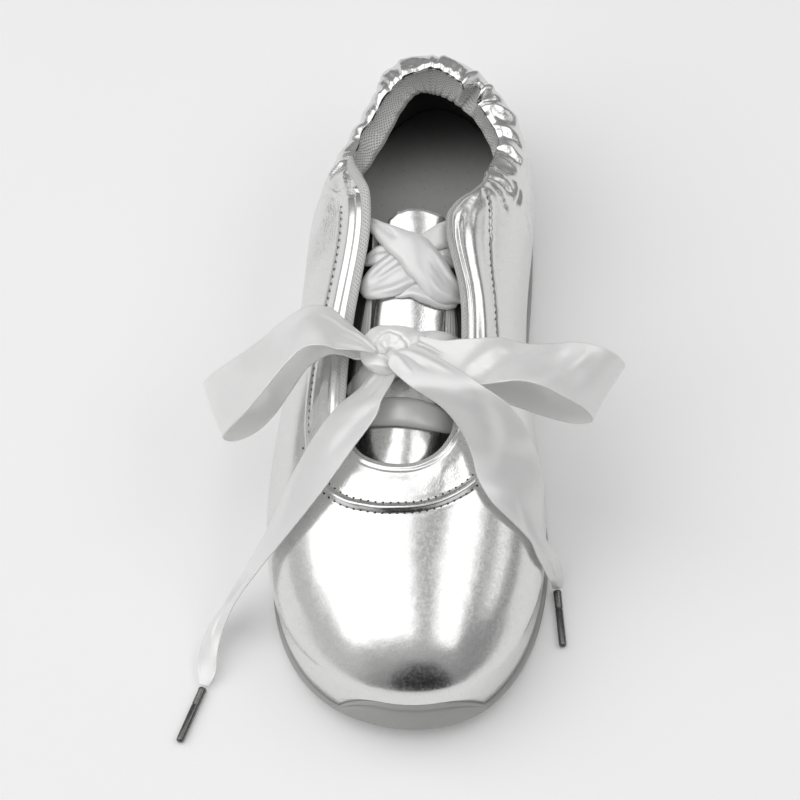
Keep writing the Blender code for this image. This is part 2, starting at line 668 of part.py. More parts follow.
def make_knot(finish):
    """The bow's knot as a soft rounded lump."""
    bpy.ops.mesh.primitive_uv_sphere_add(segments=20, ring_count=12, radius=1.0)
    knot = bpy.context.object
    knot.name = knot.data.name = "bow_knot"
    knot.location = Vector(place([(KNOT_X, KNOT_T, KNOT_Z)])[0])
    knot.scale = [half * MM for half in KNOT_HALF]
    knot.data.materials.append(finish)
    for owner in knot.users_collection:
        owner.objects.unlink(knot)
    SHOE.objects.link(knot)


def smooth_rows(values, per_row):
    """Catmull-Rom curve through rows of numbers, per_row steps between each two."""
    values = np.asarray(values, float)
    padded = np.vstack([2 * values[0] - values[1], values, 2 * values[-1] - values[-2]])
    out = []
    for k in range(1, len(padded) - 2):
        a, b, c, d = padded[k - 1:k + 3]
        for step in range(per_row):
            u = step / per_row
            out.append(0.5 * (2 * b + (c - a) * u + (2 * a - 5 * b + 4 * c - d) * u ** 2
                              + (3 * b - a - 3 * c + d) * u ** 3))
    out.append(values[-1])
    return np.array(out)


def make_ribbon(name, rows, finish):
    """Flat ribbon along its route."""
    middle = [(row.x, row.t, row.z) for row in rows]
    reach = []
    for row in rows:
        turn, tilt = math.radians(row.turn), math.radians(row.tilt)
        direction = (math.cos(turn) * math.cos(tilt), math.sin(turn) * math.cos(tilt), math.sin(tilt))
        reach.append([row.width / 2 * part for part in direction])
    middle = smooth_rows(middle, 2)
    reach = smooth_rows(reach, 2)
    grid = np.stack([middle - reach, middle, middle + reach], axis=1)
    return sheet(name, grid, RIBBON_THICK, finish)


def make_aglet(row, finish):
    """Metal tip, lying on the floor."""
    start = Vector(place([(row.x0, row.t0, AGLET_RADIUS + 0.1)])[0])
    end = Vector(place([(row.x1, row.t1, AGLET_RADIUS + 0.1)])[0])
    bpy.ops.mesh.primitive_cylinder_add(vertices=12, radius=AGLET_RADIUS * MM, depth=(end - start).length)
    tip = bpy.context.object
    tip.name = tip.data.name = row.name
    tip.location = (start + end) / 2
    tip.rotation_euler = (end - start).to_track_quat("Z", "Y").to_euler()
    tip.data.materials.append(finish)
    for owner in tip.users_collection:
        owner.objects.unlink(tip)
    SHOE.objects.link(tip)


def clear_scene():
    """Removes what the scene starts with."""
    for thing in list(bpy.data.objects):
        bpy.data.objects.remove(thing, do_unlink=True)


clear_scene()
SHOE = collection("ballet_sneaker")
HELPERS = collection("lace_helpers")

rubber = material("sole_rubber", SOLE_GREY, 0.6)
footbed = material("insole_cloth", LINING_GREY, 0.8)
leather = material("silver_leather", SILVER, 0.22, 1.0)
tongue_leather = material("tongue_leather", SILVER, 0.22, 1.0)
elastic = material("gore_elastic", ELASTIC_GREY, 0.8)
satin = material("ribbon_satin", SATIN_WHITE, 0.35)
gunmetal = material("aglet_metal", GUNMETAL, 0.3, 1.0)

make_outsole(rubber)
make_insole(footbed)
make_upper(leather)
make_tongue(tongue_leather)
make_gore("gore_lateral", -1, elastic)
make_gore("gore_medial", 1, elastic)
make_laces(satin)
make_knot(satin)
make_ribbon("bow_loop_lateral", LOOP_LATERAL, satin)
make_ribbon("bow_loop_medial", LOOP_MEDIAL, satin)
make_ribbon("tail_lateral", TAIL_LATERAL, satin)
make_ribbon("tail_medial", TAIL_MEDIAL, satin)
for aglet in AGLETS:
    make_aglet(aglet, gunmetal)
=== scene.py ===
"""Looks of the ballet sneaker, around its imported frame.

Blender 4.5. Metres, +Z up, toe along -Y, medial side +X. As in part.py, the tables are in
millimetres: t is the distance back from the toe tip, x the distance from the shoe's long axis
(lateral negative) and z the height over the floor, and place() turns them into metres in the frame.
The shoe's last and the ribbons' routes repeat part.py's, because this script can't read that file.
"""

import math
from collections import namedtuple

import bpy
import numpy as np
from mathutils import Matrix, Quaternion, Vector


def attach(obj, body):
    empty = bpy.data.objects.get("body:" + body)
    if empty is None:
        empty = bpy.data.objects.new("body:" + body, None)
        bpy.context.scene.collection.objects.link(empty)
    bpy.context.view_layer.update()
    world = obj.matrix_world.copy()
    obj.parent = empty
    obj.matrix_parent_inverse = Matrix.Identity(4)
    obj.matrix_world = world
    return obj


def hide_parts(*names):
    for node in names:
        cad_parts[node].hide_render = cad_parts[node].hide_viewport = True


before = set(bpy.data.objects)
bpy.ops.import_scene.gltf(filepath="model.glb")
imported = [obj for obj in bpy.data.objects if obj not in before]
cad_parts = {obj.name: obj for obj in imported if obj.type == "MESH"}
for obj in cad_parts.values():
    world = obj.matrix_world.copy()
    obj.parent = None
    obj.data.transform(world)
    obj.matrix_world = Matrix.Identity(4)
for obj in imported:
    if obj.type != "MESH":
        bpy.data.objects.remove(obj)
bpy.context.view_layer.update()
BODY = "root"

MM = 0.001

# ---------------------------------------------------------------- driving sizes, millimetres
GAP = 0.3                # clearance between pieces that touch
WALL = 1.6               # leather and lining of the upper
LEATHER = 0.9            # the leather alone
RIM = 2.8                # width of the sole's rim around the upper
CUP_DEPTH = 5.5          # rim height over the platform that the upper stands on
FOREFOOT_PLATFORM = 12.0
HEEL_PLATFORM = 19.5
TOE_SPRING = 7.5
SPRING_START = 56.0      # the toe lifts off the floor ahead of this
ARCH_FROM, ARCH_TO = 102.0, 176.0
ARCH_LIFT = 2.0
HEEL_BEVEL_FROM = 234.0
HEEL_BEVEL_LIFT = 1.5
BUMPER_LIFT = 2.8        # extra rim height at the toe
BUMPER_X = 1.5           # middle of the toe bumper
COLUMNS_PER_STATION = 3  # columns of a coarse grid around the shoe
PER_STATION = 24         # and of a fine one
WALL_SAMPLES = 61        # points that measure a column of the wall

# One row a section around the shoe, from the toe along the lateral side to the heel and back.
# sole_*: outline of the sole. top_*: edge of the throat and collar. low_*: how far and how steeply
# the wall leaves the sole (degrees outward from upright). high_*: the same at the top edge (degrees
# below level).
Station = namedtuple(
    "Station", "sole_t sole_x top_t top_x top_z low_len low_lean high_len high_fall")
STATIONS = [Station(*row) for row in (
    (-1.2, 2, 72, -4.2, 57, 20, 6, 32, 7),         # toe tip
    (3, -17.5, 72.4, -8.8, 57, 19, 8, 30, 8),
    (15, -33.2, 74, -14, 57.2, 18, 14, 26, 10),
    (36, -44.4, 77.6, -18.6, 57.8, 18, 26, 22, 14),
    (62, -48.4, 85, -22, 59.2, 18, 34, 19, 20),    # ball
    (92, -47.6, 98, -22.8, 61.8, 18, 33, 18, 26),
    (120, -44.4, 118, -21.8, 65.4, 18, 31, 19, 34),  # waist
    (144, -41.4, 138, -19.2, 69.6, 19, 31, 20, 40),
    (162, -40, 156, -17.2, 74.6, 20, 32, 22, 44),
    (174, -38.8, 170, -18.8, 74, 20, 32, 22, 48),  # facing corner
    (186, -37, 185, -23.4, 62, 17, 28, 14, 34),
    (200, -33.6, 199, -24, 55.6, 15, 10, 6.5, 6),
    (216, -27.8, 209.5, -19.8, 56.2, 16, 2, 5.5, 2),
    (232.5, -17.2, 221.6, -13, 59.8, 17, 5, 7.5, 0),
    (243, 1.2, 227.4, 0.4, 61.6, 17, 12, 9, 0),        # heel
    (233.5, 20.4, 221.8, 13.4, 60, 17, 14, 9, 0),
    (217, 31.8, 211.8, 21, 56.8, 16, 20, 9, 2),
    (200, 36.2, 200, 25, 55.4, 15, 28, 9, 6),
    (186, 37, 187, 23.4, 60.6, 16, 28, 13, 34),
    (174, 37, 171.6, 19.6, 71.6, 18, 26, 19, 50),    # facing corner, outer
    (160, 36.6, 158.6, 11, 75.6, 19, 24, 22, 44),    # facing corner, inner
    (138, 36.2, 138, 13.6, 70.2, 18, 22, 20, 40),
    (114, 38.2, 117, 16, 65.2, 18, 22, 19, 32),    # waist
    (90, 42.8, 97, 16, 61.6, 18, 22, 18, 25),
    (62, 45.2, 84, 13.6, 59.2, 18, 22, 18, 19),      # ball
    (36, 41.6, 77.4, 9.6, 57.9, 18, 18, 21, 13),
    (15, 32, 74, 5, 57.3, 18, 12, 26, 9),
    (2.6, 18.4, 72.4, 0.4, 57, 19, 8, 30, 8),
)]

# Tongue: distance back, middle, height of its crown, half width.
TongueRow = namedtuple("TongueRow", "t x crown half")
TONGUE = [TongueRow(*row) for row in (
    (66, -4, 52.4, 8), (74, -4.1, 54.4, 10.5), (84, -4, 57.6, 12), (100, -3.6, 61.6, 12.6),
    (120, -3, 66, 12.6), (140, -2.8, 70.6, 12.4), (150, -3, 72.8, 12.2), (161, -3.4, 75.6, 11.8),
)]
TONGUE_DROP = 3.6        # how far the tongue's edges lie under its crown

GORE_FROM, GORE_TO = 88.0, 158.0

# Plain lace strips under the knot: solid, layer, both ends (x0, t0 and x1, t1) and the width.
LaceRow = namedtuple("LaceRow", "solid layer x0 t0 x1 t1 width")
LACES = [LaceRow(*row) for row in (
    ("lace_bar_low", 0, -22.6, 91, 15.4, 89.5, 9), ("lace_cross_low", 0, -22.4, 100, 15.8, 118, 11),
    ("lace_cross_low", 1, -21.8, 115.5, 15.6, 101, 11),
)]

# The bow's knot: middle and half sizes.
KNOT_X, KNOT_T, KNOT_Z = -6.4, 107.2, 71.4
KNOT_HALF = (11.4, 9.0, 5.4)

# Ribbon routes: middle of the ribbon, its width, and where its second edge points: turn is the
# bearing of that edge seen from above (0 medial, 90 heel), tilt its rise over level.
RibbonRow = namedtuple("RibbonRow", "x t z width turn tilt")
LOOP_LATERAL = [RibbonRow(*row) for row in (
    (-12.4, 104, 75.9, 1.6, 262, 24), (-14.6, 105.3, 76.8, 6, 262, 24),
    (-18.4, 107, 77.4, 10.5, 262, 25), (-23.4, 109, 77.6, 17, 262, 27),
    (-28.8, 111, 79.6, 21, 265, 23), (-35.5, 110.9, 79, 21, 269, 18),
    (-42.8, 106.8, 75, 21, 274, 14), (-50.4, 101, 69.5, 21, 280, 9),
    (-58.4, 96.8, 62.8, 21, 286, 0), (-64.6, 94.6, 56.4, 21, 289, -6),
    (-66.8, 94.6, 50.6, 21, 292, -4), (-63.4, 96, 46, 21, 294, -1), (-56.6, 99.6, 45.4, 21, 293, 4),
    (-50.2, 104.6, 48.2, 21, 290, 6), (-44.2, 109.8, 53.6, 21, 287, 12),
    (-37.6, 113.4, 60.4, 20, 283, 20), (-29.6, 113.6, 66.4, 17, 278, 25),
    (-23.6, 110.6, 69.2, 13, 274, 27), (-18.7, 108, 69.6, 9, 270, 20),
    (-15, 107.8, 70.2, 7, 270, 15),
)]
LOOP_MEDIAL = [RibbonRow(*row) for row in (
    (-2, 108.4, 74, 5, 262, -10), (2, 107, 75, 7, 268, -8), (10.4, 102.6, 75.2, 12, 277, -12),
    (15.8, 100.6, 76.6, 16, 276, -4), (21.6, 99.6, 78.4, 18, 275, 3),
    (28.4, 98.9, 80.8, 21, 274, 16), (36, 98.4, 80.8, 21, 272, 24), (44, 98, 79.4, 21, 267, 19),
    (51.6, 98.8, 76, 21, 257, 0), (58.6, 99.1, 71, 21, 247, -14), (63, 99.2, 65, 21, 241, -22),
    (64.2, 99.6, 58.8, 21, 238, -20), (60.8, 100, 54.2, 21, 239, -3),
    (53.6, 101.4, 52.6, 21, 244, 5), (44.4, 102.4, 55, 21, 252, 10), (35, 102.6, 59.6, 21, 261, 14),
    (25.2, 102, 64.2, 18, 267, 12), (15.4, 104, 67.2, 13, 271, 4), (9.4, 106, 68.4, 10, 272, 0),
    (5.1, 107.4, 69, 9, 272, 0), (1, 108, 70.4, 7, 272, 0),
)]
TAIL_LATERAL = [RibbonRow(*row) for row in (
    (-7.6, 102.6, 70.6, 8, 320, 20), (-9.8, 98.1, 69.9, 10, 320, 24),
    (-13.6, 91.4, 69.8, 14, 318, 34), (-18.4, 85.4, 67.4, 20, 320, 33),
    (-25.4, 77, 62.4, 19, 328, 30), (-33.8, 66.6, 53.4, 18, 326, 34),
    (-43.2, 55.6, 41.6, 16, 322, 46), (-53, 48.6, 25.6, 13.5, 318, 54),
    (-60.6, 43, 12.8, 11, 316, 56), (-65.4, 36, 7.4, 9.2, 318, 40), (-67.4, 28.4, 5.6, 8, 326, 26),
    (-68, 22.2, 3.4, 7, 338, 12), (-68.8, 17, 1.9, 3, 342, 0),
)]
TAIL_MEDIAL = [RibbonRow(*row) for row in (
    (-7, 103.7, 76.2, 2, 36, 5), (-4.6, 102.4, 77.1, 7.5, 35, 5), (-1.8, 100.9, 77.3, 12.5, 34, 5),
    (7.3, 93.4, 78.2, 17.5, 14, 7), (14, 89, 77.4, 19.5, 5, 11), (21.1, 85.2, 74.2, 21, 1, 10),
    (25.9, 81.8, 69, 22, 359, 6), (28.8, 78.6, 64, 22, 357, 3), (31, 75.2, 58.8, 22, 1, -4),
    (32.9, 69.8, 52.8, 22, 8, -14), (35.1, 64.8, 47, 20, 17, -29), (37.5, 61.9, 42.2, 17, 24, -40),
    (40, 59.2, 37.7, 13, 31, -48), (42.6, 57, 33.4, 11, 36, -52), (44.8, 55.2, 28.6, 13, 42, -50),
    (46.6, 54.6, 22, 16, 50, -54), (47.8, 54.8, 13.6, 13, 54, -52), (48.4, 56.2, 6.6, 7, 40, -40),
    (48.3, 56.4, 2, 3, 0, 0),
)]

# Aglets: rolled metal tips on the floor, from the ribbon's end to the free tip.
AGLET_RADIUS = 1.35
AgletRow = namedtuple("AgletRow", "name x0 t0 x1 t1")
AGLETS = [AgletRow(*row) for row in (
    ("aglet_lateral", -69, 16.2, -75.6, -3.6), ("aglet_medial", 48.4, 55.5, 50.8, 34.6),
)]


# ---------------------------------------------------------------- curves
def unit(vectors):
    """Vectors scaled to length 1."""
    vectors = np.asarray(vectors, float)
    return vectors / np.maximum(np.linalg.norm(vectors, axis=-1, keepdims=True), 1e-12)


def run_along(line):
    """Length along a line of points from its start, or along each column of a grid."""
    steps = np.linalg.norm(np.diff(line, axis=0), axis=-1)
    return np.concatenate([np.zeros((1, *steps.shape[1:])), np.cumsum(steps, axis=0)])


def closed_spline(knots, values, period):
    """Smooth closed curve through values at knots, as a function that takes an array."""
    knots = np.asarray(knots, float)
    values = np.asarray(values, float)
    count = len(knots)
    step = np.diff(np.append(knots, knots[0] + period))
    matrix = np.zeros((count, count))
    right = np.zeros(values.shape)
    for i in range(count):
        before, after = (i - 1) % count, (i + 1) % count
        matrix[i, before] += step[before]
        matrix[i, i] += 2 * (step[before] + step[i])
        matrix[i, after] += step[i]
        rise_after = (values[after] - values[i]) / step[i]
        rise_before = (values[i] - values[before]) / step[before]
        right[i] = 6 * (rise_after - rise_before)
    bend = np.linalg.solve(matrix, right)

    def curve(where):
        where = (np.asarray(where, float) - knots[0]) % period + knots[0]
        low = np.searchsorted(knots, where, side="right") - 1
        high = (low + 1) % count
        span = step[low]
        b = (where - knots[low]) / span
        a = 1 - b
        if values.ndim > 1:
            a, b, span = a[:, None], b[:, None], span[:, None]
        return (a * values[low] + b * values[high]
                + ((a ** 3 - a) * bend[low] + (b ** 3 - b) * bend[high]) * span ** 2 / 6)

    return curve


def smoothstep(low, high, value):
    """0 under low, 1 over high, and a soft rise between them."""
    ratio = np.clip((np.asarray(value, float) - low) / (high - low), 0.0, 1.0)
    return ratio * ratio * (3 - 2 * ratio)


def open_curve(rows, name, where):
    """Smooth value of a table's named column at the distances in where."""
    t = np.array([row.t for row in rows])
    value = np.array([getattr(row, name) for row in rows])
    slope = np.gradient(value, t)
    where = np.clip(where, t[0], t[-1])
    low = np.clip(np.searchsorted(t, where, side="right") - 1, 0, len(t) - 2)
    span = t[low + 1] - t[low]
    u = (where - t[low]) / span
    rise = 3 * u ** 2 - 2 * u ** 3
    bend = (u ** 3 - 2 * u ** 2 + u) * slope[low] + (u ** 3 - u ** 2) * slope[low + 1]
    return (1 - rise) * value[low] + rise * value[low + 1] + bend * span


# ---------------------------------------------------------------- the last: outline and heights
SOLE_POINTS = np.array([(s.sole_x, s.sole_t) for s in STATIONS])
SOLE_STEPS = np.linalg.norm(np.roll(SOLE_POINTS, -1, axis=0) - SOLE_POINTS, axis=1)
KNOTS = np.concatenate([[0.0], np.cumsum(SOLE_STEPS)[:-1]])
GIRTH = float(SOLE_STEPS.sum())
OUTLINE = closed_spline(KNOTS, SOLE_POINTS, GIRTH)


def columns(per_station):
    """Places around the shoe: the same number between each two stations."""
    ends = np.append(KNOTS, GIRTH)
    shares = np.arange(per_station) / per_station
    return np.concatenate([a + (b - a) * shares for a, b in zip(ends[:-1], ends[1:])])


def outline_normal(where):
    """Level direction out of the outline."""
    ahead = OUTLINE(where + 0.05)
    behind = OUTLINE(where - 0.05)
    run = ahead - behind
    normal = np.stack([-run[:, 1], run[:, 0]], axis=1)
    return unit(normal)


def inset(where, distance):
    """Outline drawn in by a distance, as x and t."""
    return OUTLINE(where) - np.asarray(distance)[..., None] * outline_normal(where)


def ground(t):
    """Underside of the sole: toe spring, flat forefoot, low arch, flat heel."""
    spring = TOE_SPRING * np.clip((SPRING_START - t) / SPRING_START, 0, None) ** 2
    arch = ARCH_LIFT * np.sin(math.pi * np.clip((t - ARCH_FROM) / (ARCH_TO - ARCH_FROM), 0, 1)) ** 2
    bevel = HEEL_BEVEL_LIFT * np.clip((t - HEEL_BEVEL_FROM) / 10.0, 0, None) ** 2
    return spring + arch + bevel


def platform(t):
    """Floor of the cup."""
    rise = HEEL_PLATFORM - FOREFOOT_PLATFORM
    spring = 0.8 * TOE_SPRING * np.clip((SPRING_START - t) / SPRING_START, 0, None) ** 2
    return FOREFOOT_PLATFORM + spring + rise * smoothstep(88.0, 190.0, t)


def foot_height(x, t):
    """Height at which the leather leaves the rim, with a toe bumper that runs out softly."""
    front = 1 - smoothstep(13.0, 38.0, np.abs(x - BUMPER_X))
    return platform(t) + CUP_DEPTH + BUMPER_LIFT * front * (1 - smoothstep(16.0, 40.0, t))


SOLE_LINE = OUTLINE(np.arange(0, GIRTH, 0.5))
MIDDLE = (SOLE_LINE.min(axis=0) + SOLE_LINE.max(axis=0)) / 2


def place(points):
    """Millimetre rows of x, t, z as metres in the shoe's frame."""
    points = np.asarray(points, float)
    return (points - np.array([MIDDLE[0], MIDDLE[1], 0.0])) * MM


# ---------------------------------------------------------------- the upper's wall
def wall_foot(where):
    """Where the wall stands in the cup, as x, t, z."""
    foot = inset(where, RIM + GAP)
    return np.column_stack([foot, foot_height(foot[:, 0], foot[:, 1]) + GAP])


def wall_handles():
    """The three upper control points of the wall at every station, as x, t, z."""
    low_len, low_lean, high_len, high_fall = np.array([row[5:] for row in STATIONS], float).T
    low_lean, high_fall = np.radians(low_lean), np.radians(high_fall)
    top = np.array([row[2:5] for row in STATIONS])[:, [1, 0, 2]]
    low = wall_foot(KNOTS)
    low[:, :2] += outline_normal(KNOTS) * (low_len * np.sin(low_lean))[:, None]
    low[:, 2] += low_len * np.cos(low_lean)
    high = top.copy()
    high[:, :2] += unit(low[:, :2] - top[:, :2]) * (high_len * np.cos(high_fall))[:, None]
    high[:, 2] -= high_len * np.sin(high_fall)
    return low, high, top


LOW, HIGH, TOP = (closed_spline(KNOTS, control, GIRTH) for control in wall_handles())


def wall_points(where, depths, shares):
    """Base surface of the wall. depths are distances down from the top edge, and shares are parts
    of what is left of the wall under the last depth. Returns rows of points from the top edge
    down."""
    controls = [TOP(where), HIGH(where), LOW(where), wall_foot(where)]
    u = np.linspace(0, 1, WALL_SAMPLES)[:, None, None]
    a, b, c, d = (control[None] for control in controls)
    fine = (1 - u) ** 3 * a + 3 * u * (1 - u) ** 2 * b + 3 * u ** 2 * (1 - u) * c + u ** 3 * d
    run = run_along(fine)
    rows = np.empty((len(depths) + len(shares), len(where), 3))
    for k in range(len(where)):
        left = run[-1, k] - depths[-1]
        goals = np.concatenate([depths, depths[-1] + left * np.asarray(shares)])
        for axis in range(3):
            rows[:, k, axis] = np.interp(goals, run[:, k], fine[:, k, axis])
    return rows


def surface_normals(rows):
    """Outward normal at each point of a grid of rows that close around the shoe."""
    down = np.gradient(rows, axis=0)
    around = np.roll(rows, -1, axis=1) - np.roll(rows, 1, axis=1)
    normal = np.cross(around, down)
    return unit(normal)


def top_run():
    """Length along the top edge from the toe, at each station and for any place."""
    fine = np.linspace(0, GIRTH, 2001)
    total = run_along(TOP(fine))
    return lambda where: np.interp(np.asarray(where) % GIRTH, fine, total)


TOP_RUN = top_run()
TOP_GIRTH = float(TOP_RUN(GIRTH - 1e-6))


# ---------------------------------------------------------------- mesh tools
def build(name, points, faces, finish, nodes=(), weave=None):
    """Smooth piece from points in metres and faces. It rides on the shoe, takes its finish from a
    slot and stands for CAD nodes. weave is the place of the first faces' corners on the flat
    cloth, in millimetres."""
    faces = faces.tolist() if isinstance(faces, np.ndarray) else faces
    mesh = bpy.data.meshes.new(name)
    mesh.from_pydata(np.reshape(points, (-1, 3)).tolist(), [], faces)
    mesh.polygons.foreach_set("use_smooth", np.ones(len(mesh.polygons), bool))
    if weave is not None:
        weave = np.reshape(weave, (-1, 2))
        rest = np.zeros((len(mesh.loops) - len(weave), 2))
        mesh.uv_layers.new(name=WEAVE).uv.foreach_set(
            "vector", np.concatenate([weave, rest]).astype(np.float32).ravel())
    mesh.materials.append(finish)
    made = bpy.data.objects.new(name, mesh)
    bpy.context.scene.collection.objects.link(made)
    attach(made, BODY)
    if nodes:
        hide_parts(*nodes)
    return made


def mark(made, name, values):
    """Gives every point of a piece a value that its material reads."""
    layer = made.data.attributes.new(name, "FLOAT", "POINT")
    layer.data.foreach_set("value", np.asarray(values).ravel().astype(np.float32))


def grid_faces(rows, cols, wrap_cols=False, wrap_rows=False):
    """Corner indices of a grid's faces."""
    r = np.arange(rows if wrap_rows else rows - 1)
    c = np.arange(cols if wrap_cols else cols - 1)
    r, c = (part.ravel() for part in np.meshgrid(r, c, indexing="ij"))
    r1, c1 = (r + 1) % rows, (c + 1) % cols
    return np.stack([r * cols + c, r * cols + c1, r1 * cols + c1, r1 * cols + c], axis=1)


def lid(first, count):
    """Faces that close a ring of points, from its point first, by joining its two sides."""
    half = count // 2
    faces = [(first, first + 1, first + count - 1)]
    faces += [(first + k, first + k + 1, first + count - k - 1, first + count - k)
              for k in range(1, half - 1)]
    faces += [(first + half - 1, first + half, first + half + 1)]
    return [face[::-1] for face in faces]


def grid_weave(across, along):
    """Cloth places of a grid's face corners: across has a value a column and along one a row, or
    both have one at every point of the grid."""
    if np.ndim(across) == 1:
        along, across = np.meshgrid(along, across, indexing="ij")
    rows, cols = np.shape(across)
    cloth = np.stack([across, along], axis=-1)
    return np.stack([cloth[i:rows - 1 + i, j:cols - 1 + j].reshape(-1, 2)
                     for i, j in ((0, 0), (0, 1), (1, 1), (1, 0))], axis=1)


def sheet(name, top, bottom, finish, nodes=(), weave=None):
    """Closed piece between two grids of points in millimetres."""
    rows, cols = top.shape[:2]
    count = 2 * cols
    faces = grid_faces(rows, count, wrap_cols=True).tolist()
    for base, turn in ((0, 1), ((rows - 1) * count, -1)):
        for c in range(cols - 1):
            far = base + count - 1 - c
            faces.append([base + c, far, far - 1, base + c + 1][::turn])
    points = place(np.concatenate([top, bottom[:, ::-1]], axis=1))
    return build(name, points, faces, finish, nodes, weave)


def tube(name, rings, finish, nodes=(), weave_width=None):
    """Closed tube of rings (places x points x 3, metres) with a fan at both ends."""
    count, around = rings.shape[:2]
    faces = grid_faces(count, around, wrap_cols=True).tolist()
    tip, last = count * around, (count - 1) * around
    for a in range(around):
        b = (a + 1) % around
        faces += [(tip, b, a), (tip + 1, last + a, last + b)]
    points = np.concatenate([rings.reshape(-1, 3), rings[0].mean(0)[None], rings[-1].mean(0)[None]])
    weave = None
    if weave_width is not None:
        weave = grid_weave(np.linspace(0, weave_width, around + 1), run_along(rings.mean(1)) / MM)
    return build(name, points, faces, finish, nodes, weave)


def smooth_rows(values, per_row):
    """Catmull-Rom curve through rows of numbers or of points, per_row steps between each two."""
    values = np.asarray(values, float)
    padded = np.concatenate([[2 * values[0] - values[1]], values, [2 * values[-1] - values[-2]]])
    out = []
    for k in range(1, len(padded) - 2):
        a, b, c, d = padded[k - 1:k + 3]
        for step in range(per_row):
            u = step / per_row
            out.append(0.5 * (2 * b + (c - a) * u + (2 * a - 5 * b + 4 * c - d) * u ** 2
                              + (3 * b - a - 3 * c + d) * u ** 3))
    out.append(values[-1])
    return np.array(out)


def profile(knots, where, column=1):
    """Soft curve through a table's places and the values in one of its columns: level at every
    knot."""
    places, values = np.array(knots, float)[:, (0, column)].T
    where = np.clip(where, places[0], places[-1])
    low = np.clip(np.searchsorted(places, where, side="right") - 1, 0, len(places) - 2)
    u = (where - places[low]) / (places[low + 1] - places[low])
    u = u * u * (3 - 2 * u)
    return values[low] * (1 - u) + values[low + 1] * u


def waves(where, table):
    """Sum of sine waves: rows of length, height and phase."""
    return sum(height * np.sin(2 * math.pi * (where / length + phase))
               for length, height, phase in table)


# A crease: height (a trough if negative), softness on the left and on the right of its
# line, and the line's points on the flat cloth, in millimetres.
Crease = namedtuple("Crease", "height left right line")


def relief(creases, u, v, edge=0):
    """Height that creases give a cloth at places u, v. A line that starts at the cloth's edge,
    where u is 0 (or v, when edge is 1), keeps its height there; other ends fade out."""
    total = np.zeros(np.shape(u))
    for crease in creases:
        line = smooth_rows(crease.line, 20)
        reach = 2.6 * max(crease.left, crease.right)
        near = ((u > line[:, 0].min() - reach) & (u < line[:, 0].max() + reach)
                & (v > line[:, 1].min() - reach) & (v < line[:, 1].max() + reach))
        if not near.any():
            continue
        at = np.stack([u[near], v[near]], axis=1)
        away = at[:, None] - line[None]
        nearest = np.argmin((away ** 2).sum(2), axis=1)
        direction = unit(np.gradient(line, axis=0))[nearest]
        off = away[np.arange(len(at)), nearest]
        side = direction[:, 0] * off[:, 1] - direction[:, 1] * off[:, 0]
        soft = np.where(side > 0, crease.left, crease.right)
        distance = np.linalg.norm(off, axis=1)
        share = nearest / (len(line) - 1)
        ends = np.clip(np.minimum(share, 1 - share) * 4, 0, 1)
        if abs(line[0, edge]) < 1.0:
            ends = np.where(share < 0.5, 1.0, ends)
        total[near] += crease.height * np.exp(-(distance / soft) ** 2) * (0.15 + 0.85 * ends)
    return total


# ---------------------------------------------------------------- materials
WEAVE = "Weave"          # UV map that holds each corner's place on the flat cloth, in millimetres


def grey(level, warmth=0.0):
    """Grey with a little less blue."""
    return level, level, level - warmth


class Nodes:
    """Short ways to add nodes to a tree."""

    def __init__(self, tree):
        self.tree = tree

    def feed(self, socket, value):
        """Gives an input a value, or the output of another node."""
        if isinstance(value, bpy.types.NodeSocket):
            self.tree.links.new(value, socket)
        else:
            socket.default_value = value

    def node(self, kind, inputs=None, **settings):
        made = self.tree.nodes.new("ShaderNode" + kind)
        for key, value in settings.items():
            setattr(made, key, value)
        for key, value in (inputs or {}).items():
            self.feed(made.inputs[key], value)
        return made

    def ramp(self, value, low, high, to_low=0.0, to_high=1.0):
        return self.node("MapRange", {"Value": value, "From Min": low, "From Max": high,
                                      "To Min": to_low, "To Max": to_high},
                         interpolation_type="SMOOTHSTEP").outputs[0]

    def colours(self, share, first, second):
        mix = self.node("Mix", {"Factor": share}, data_type="RGBA")
        for key, value in ((6, first), (7, second)):
            self.feed(mix.inputs[key], (*value, 1) if isinstance(value, tuple) else value)
        return mix.outputs[2]


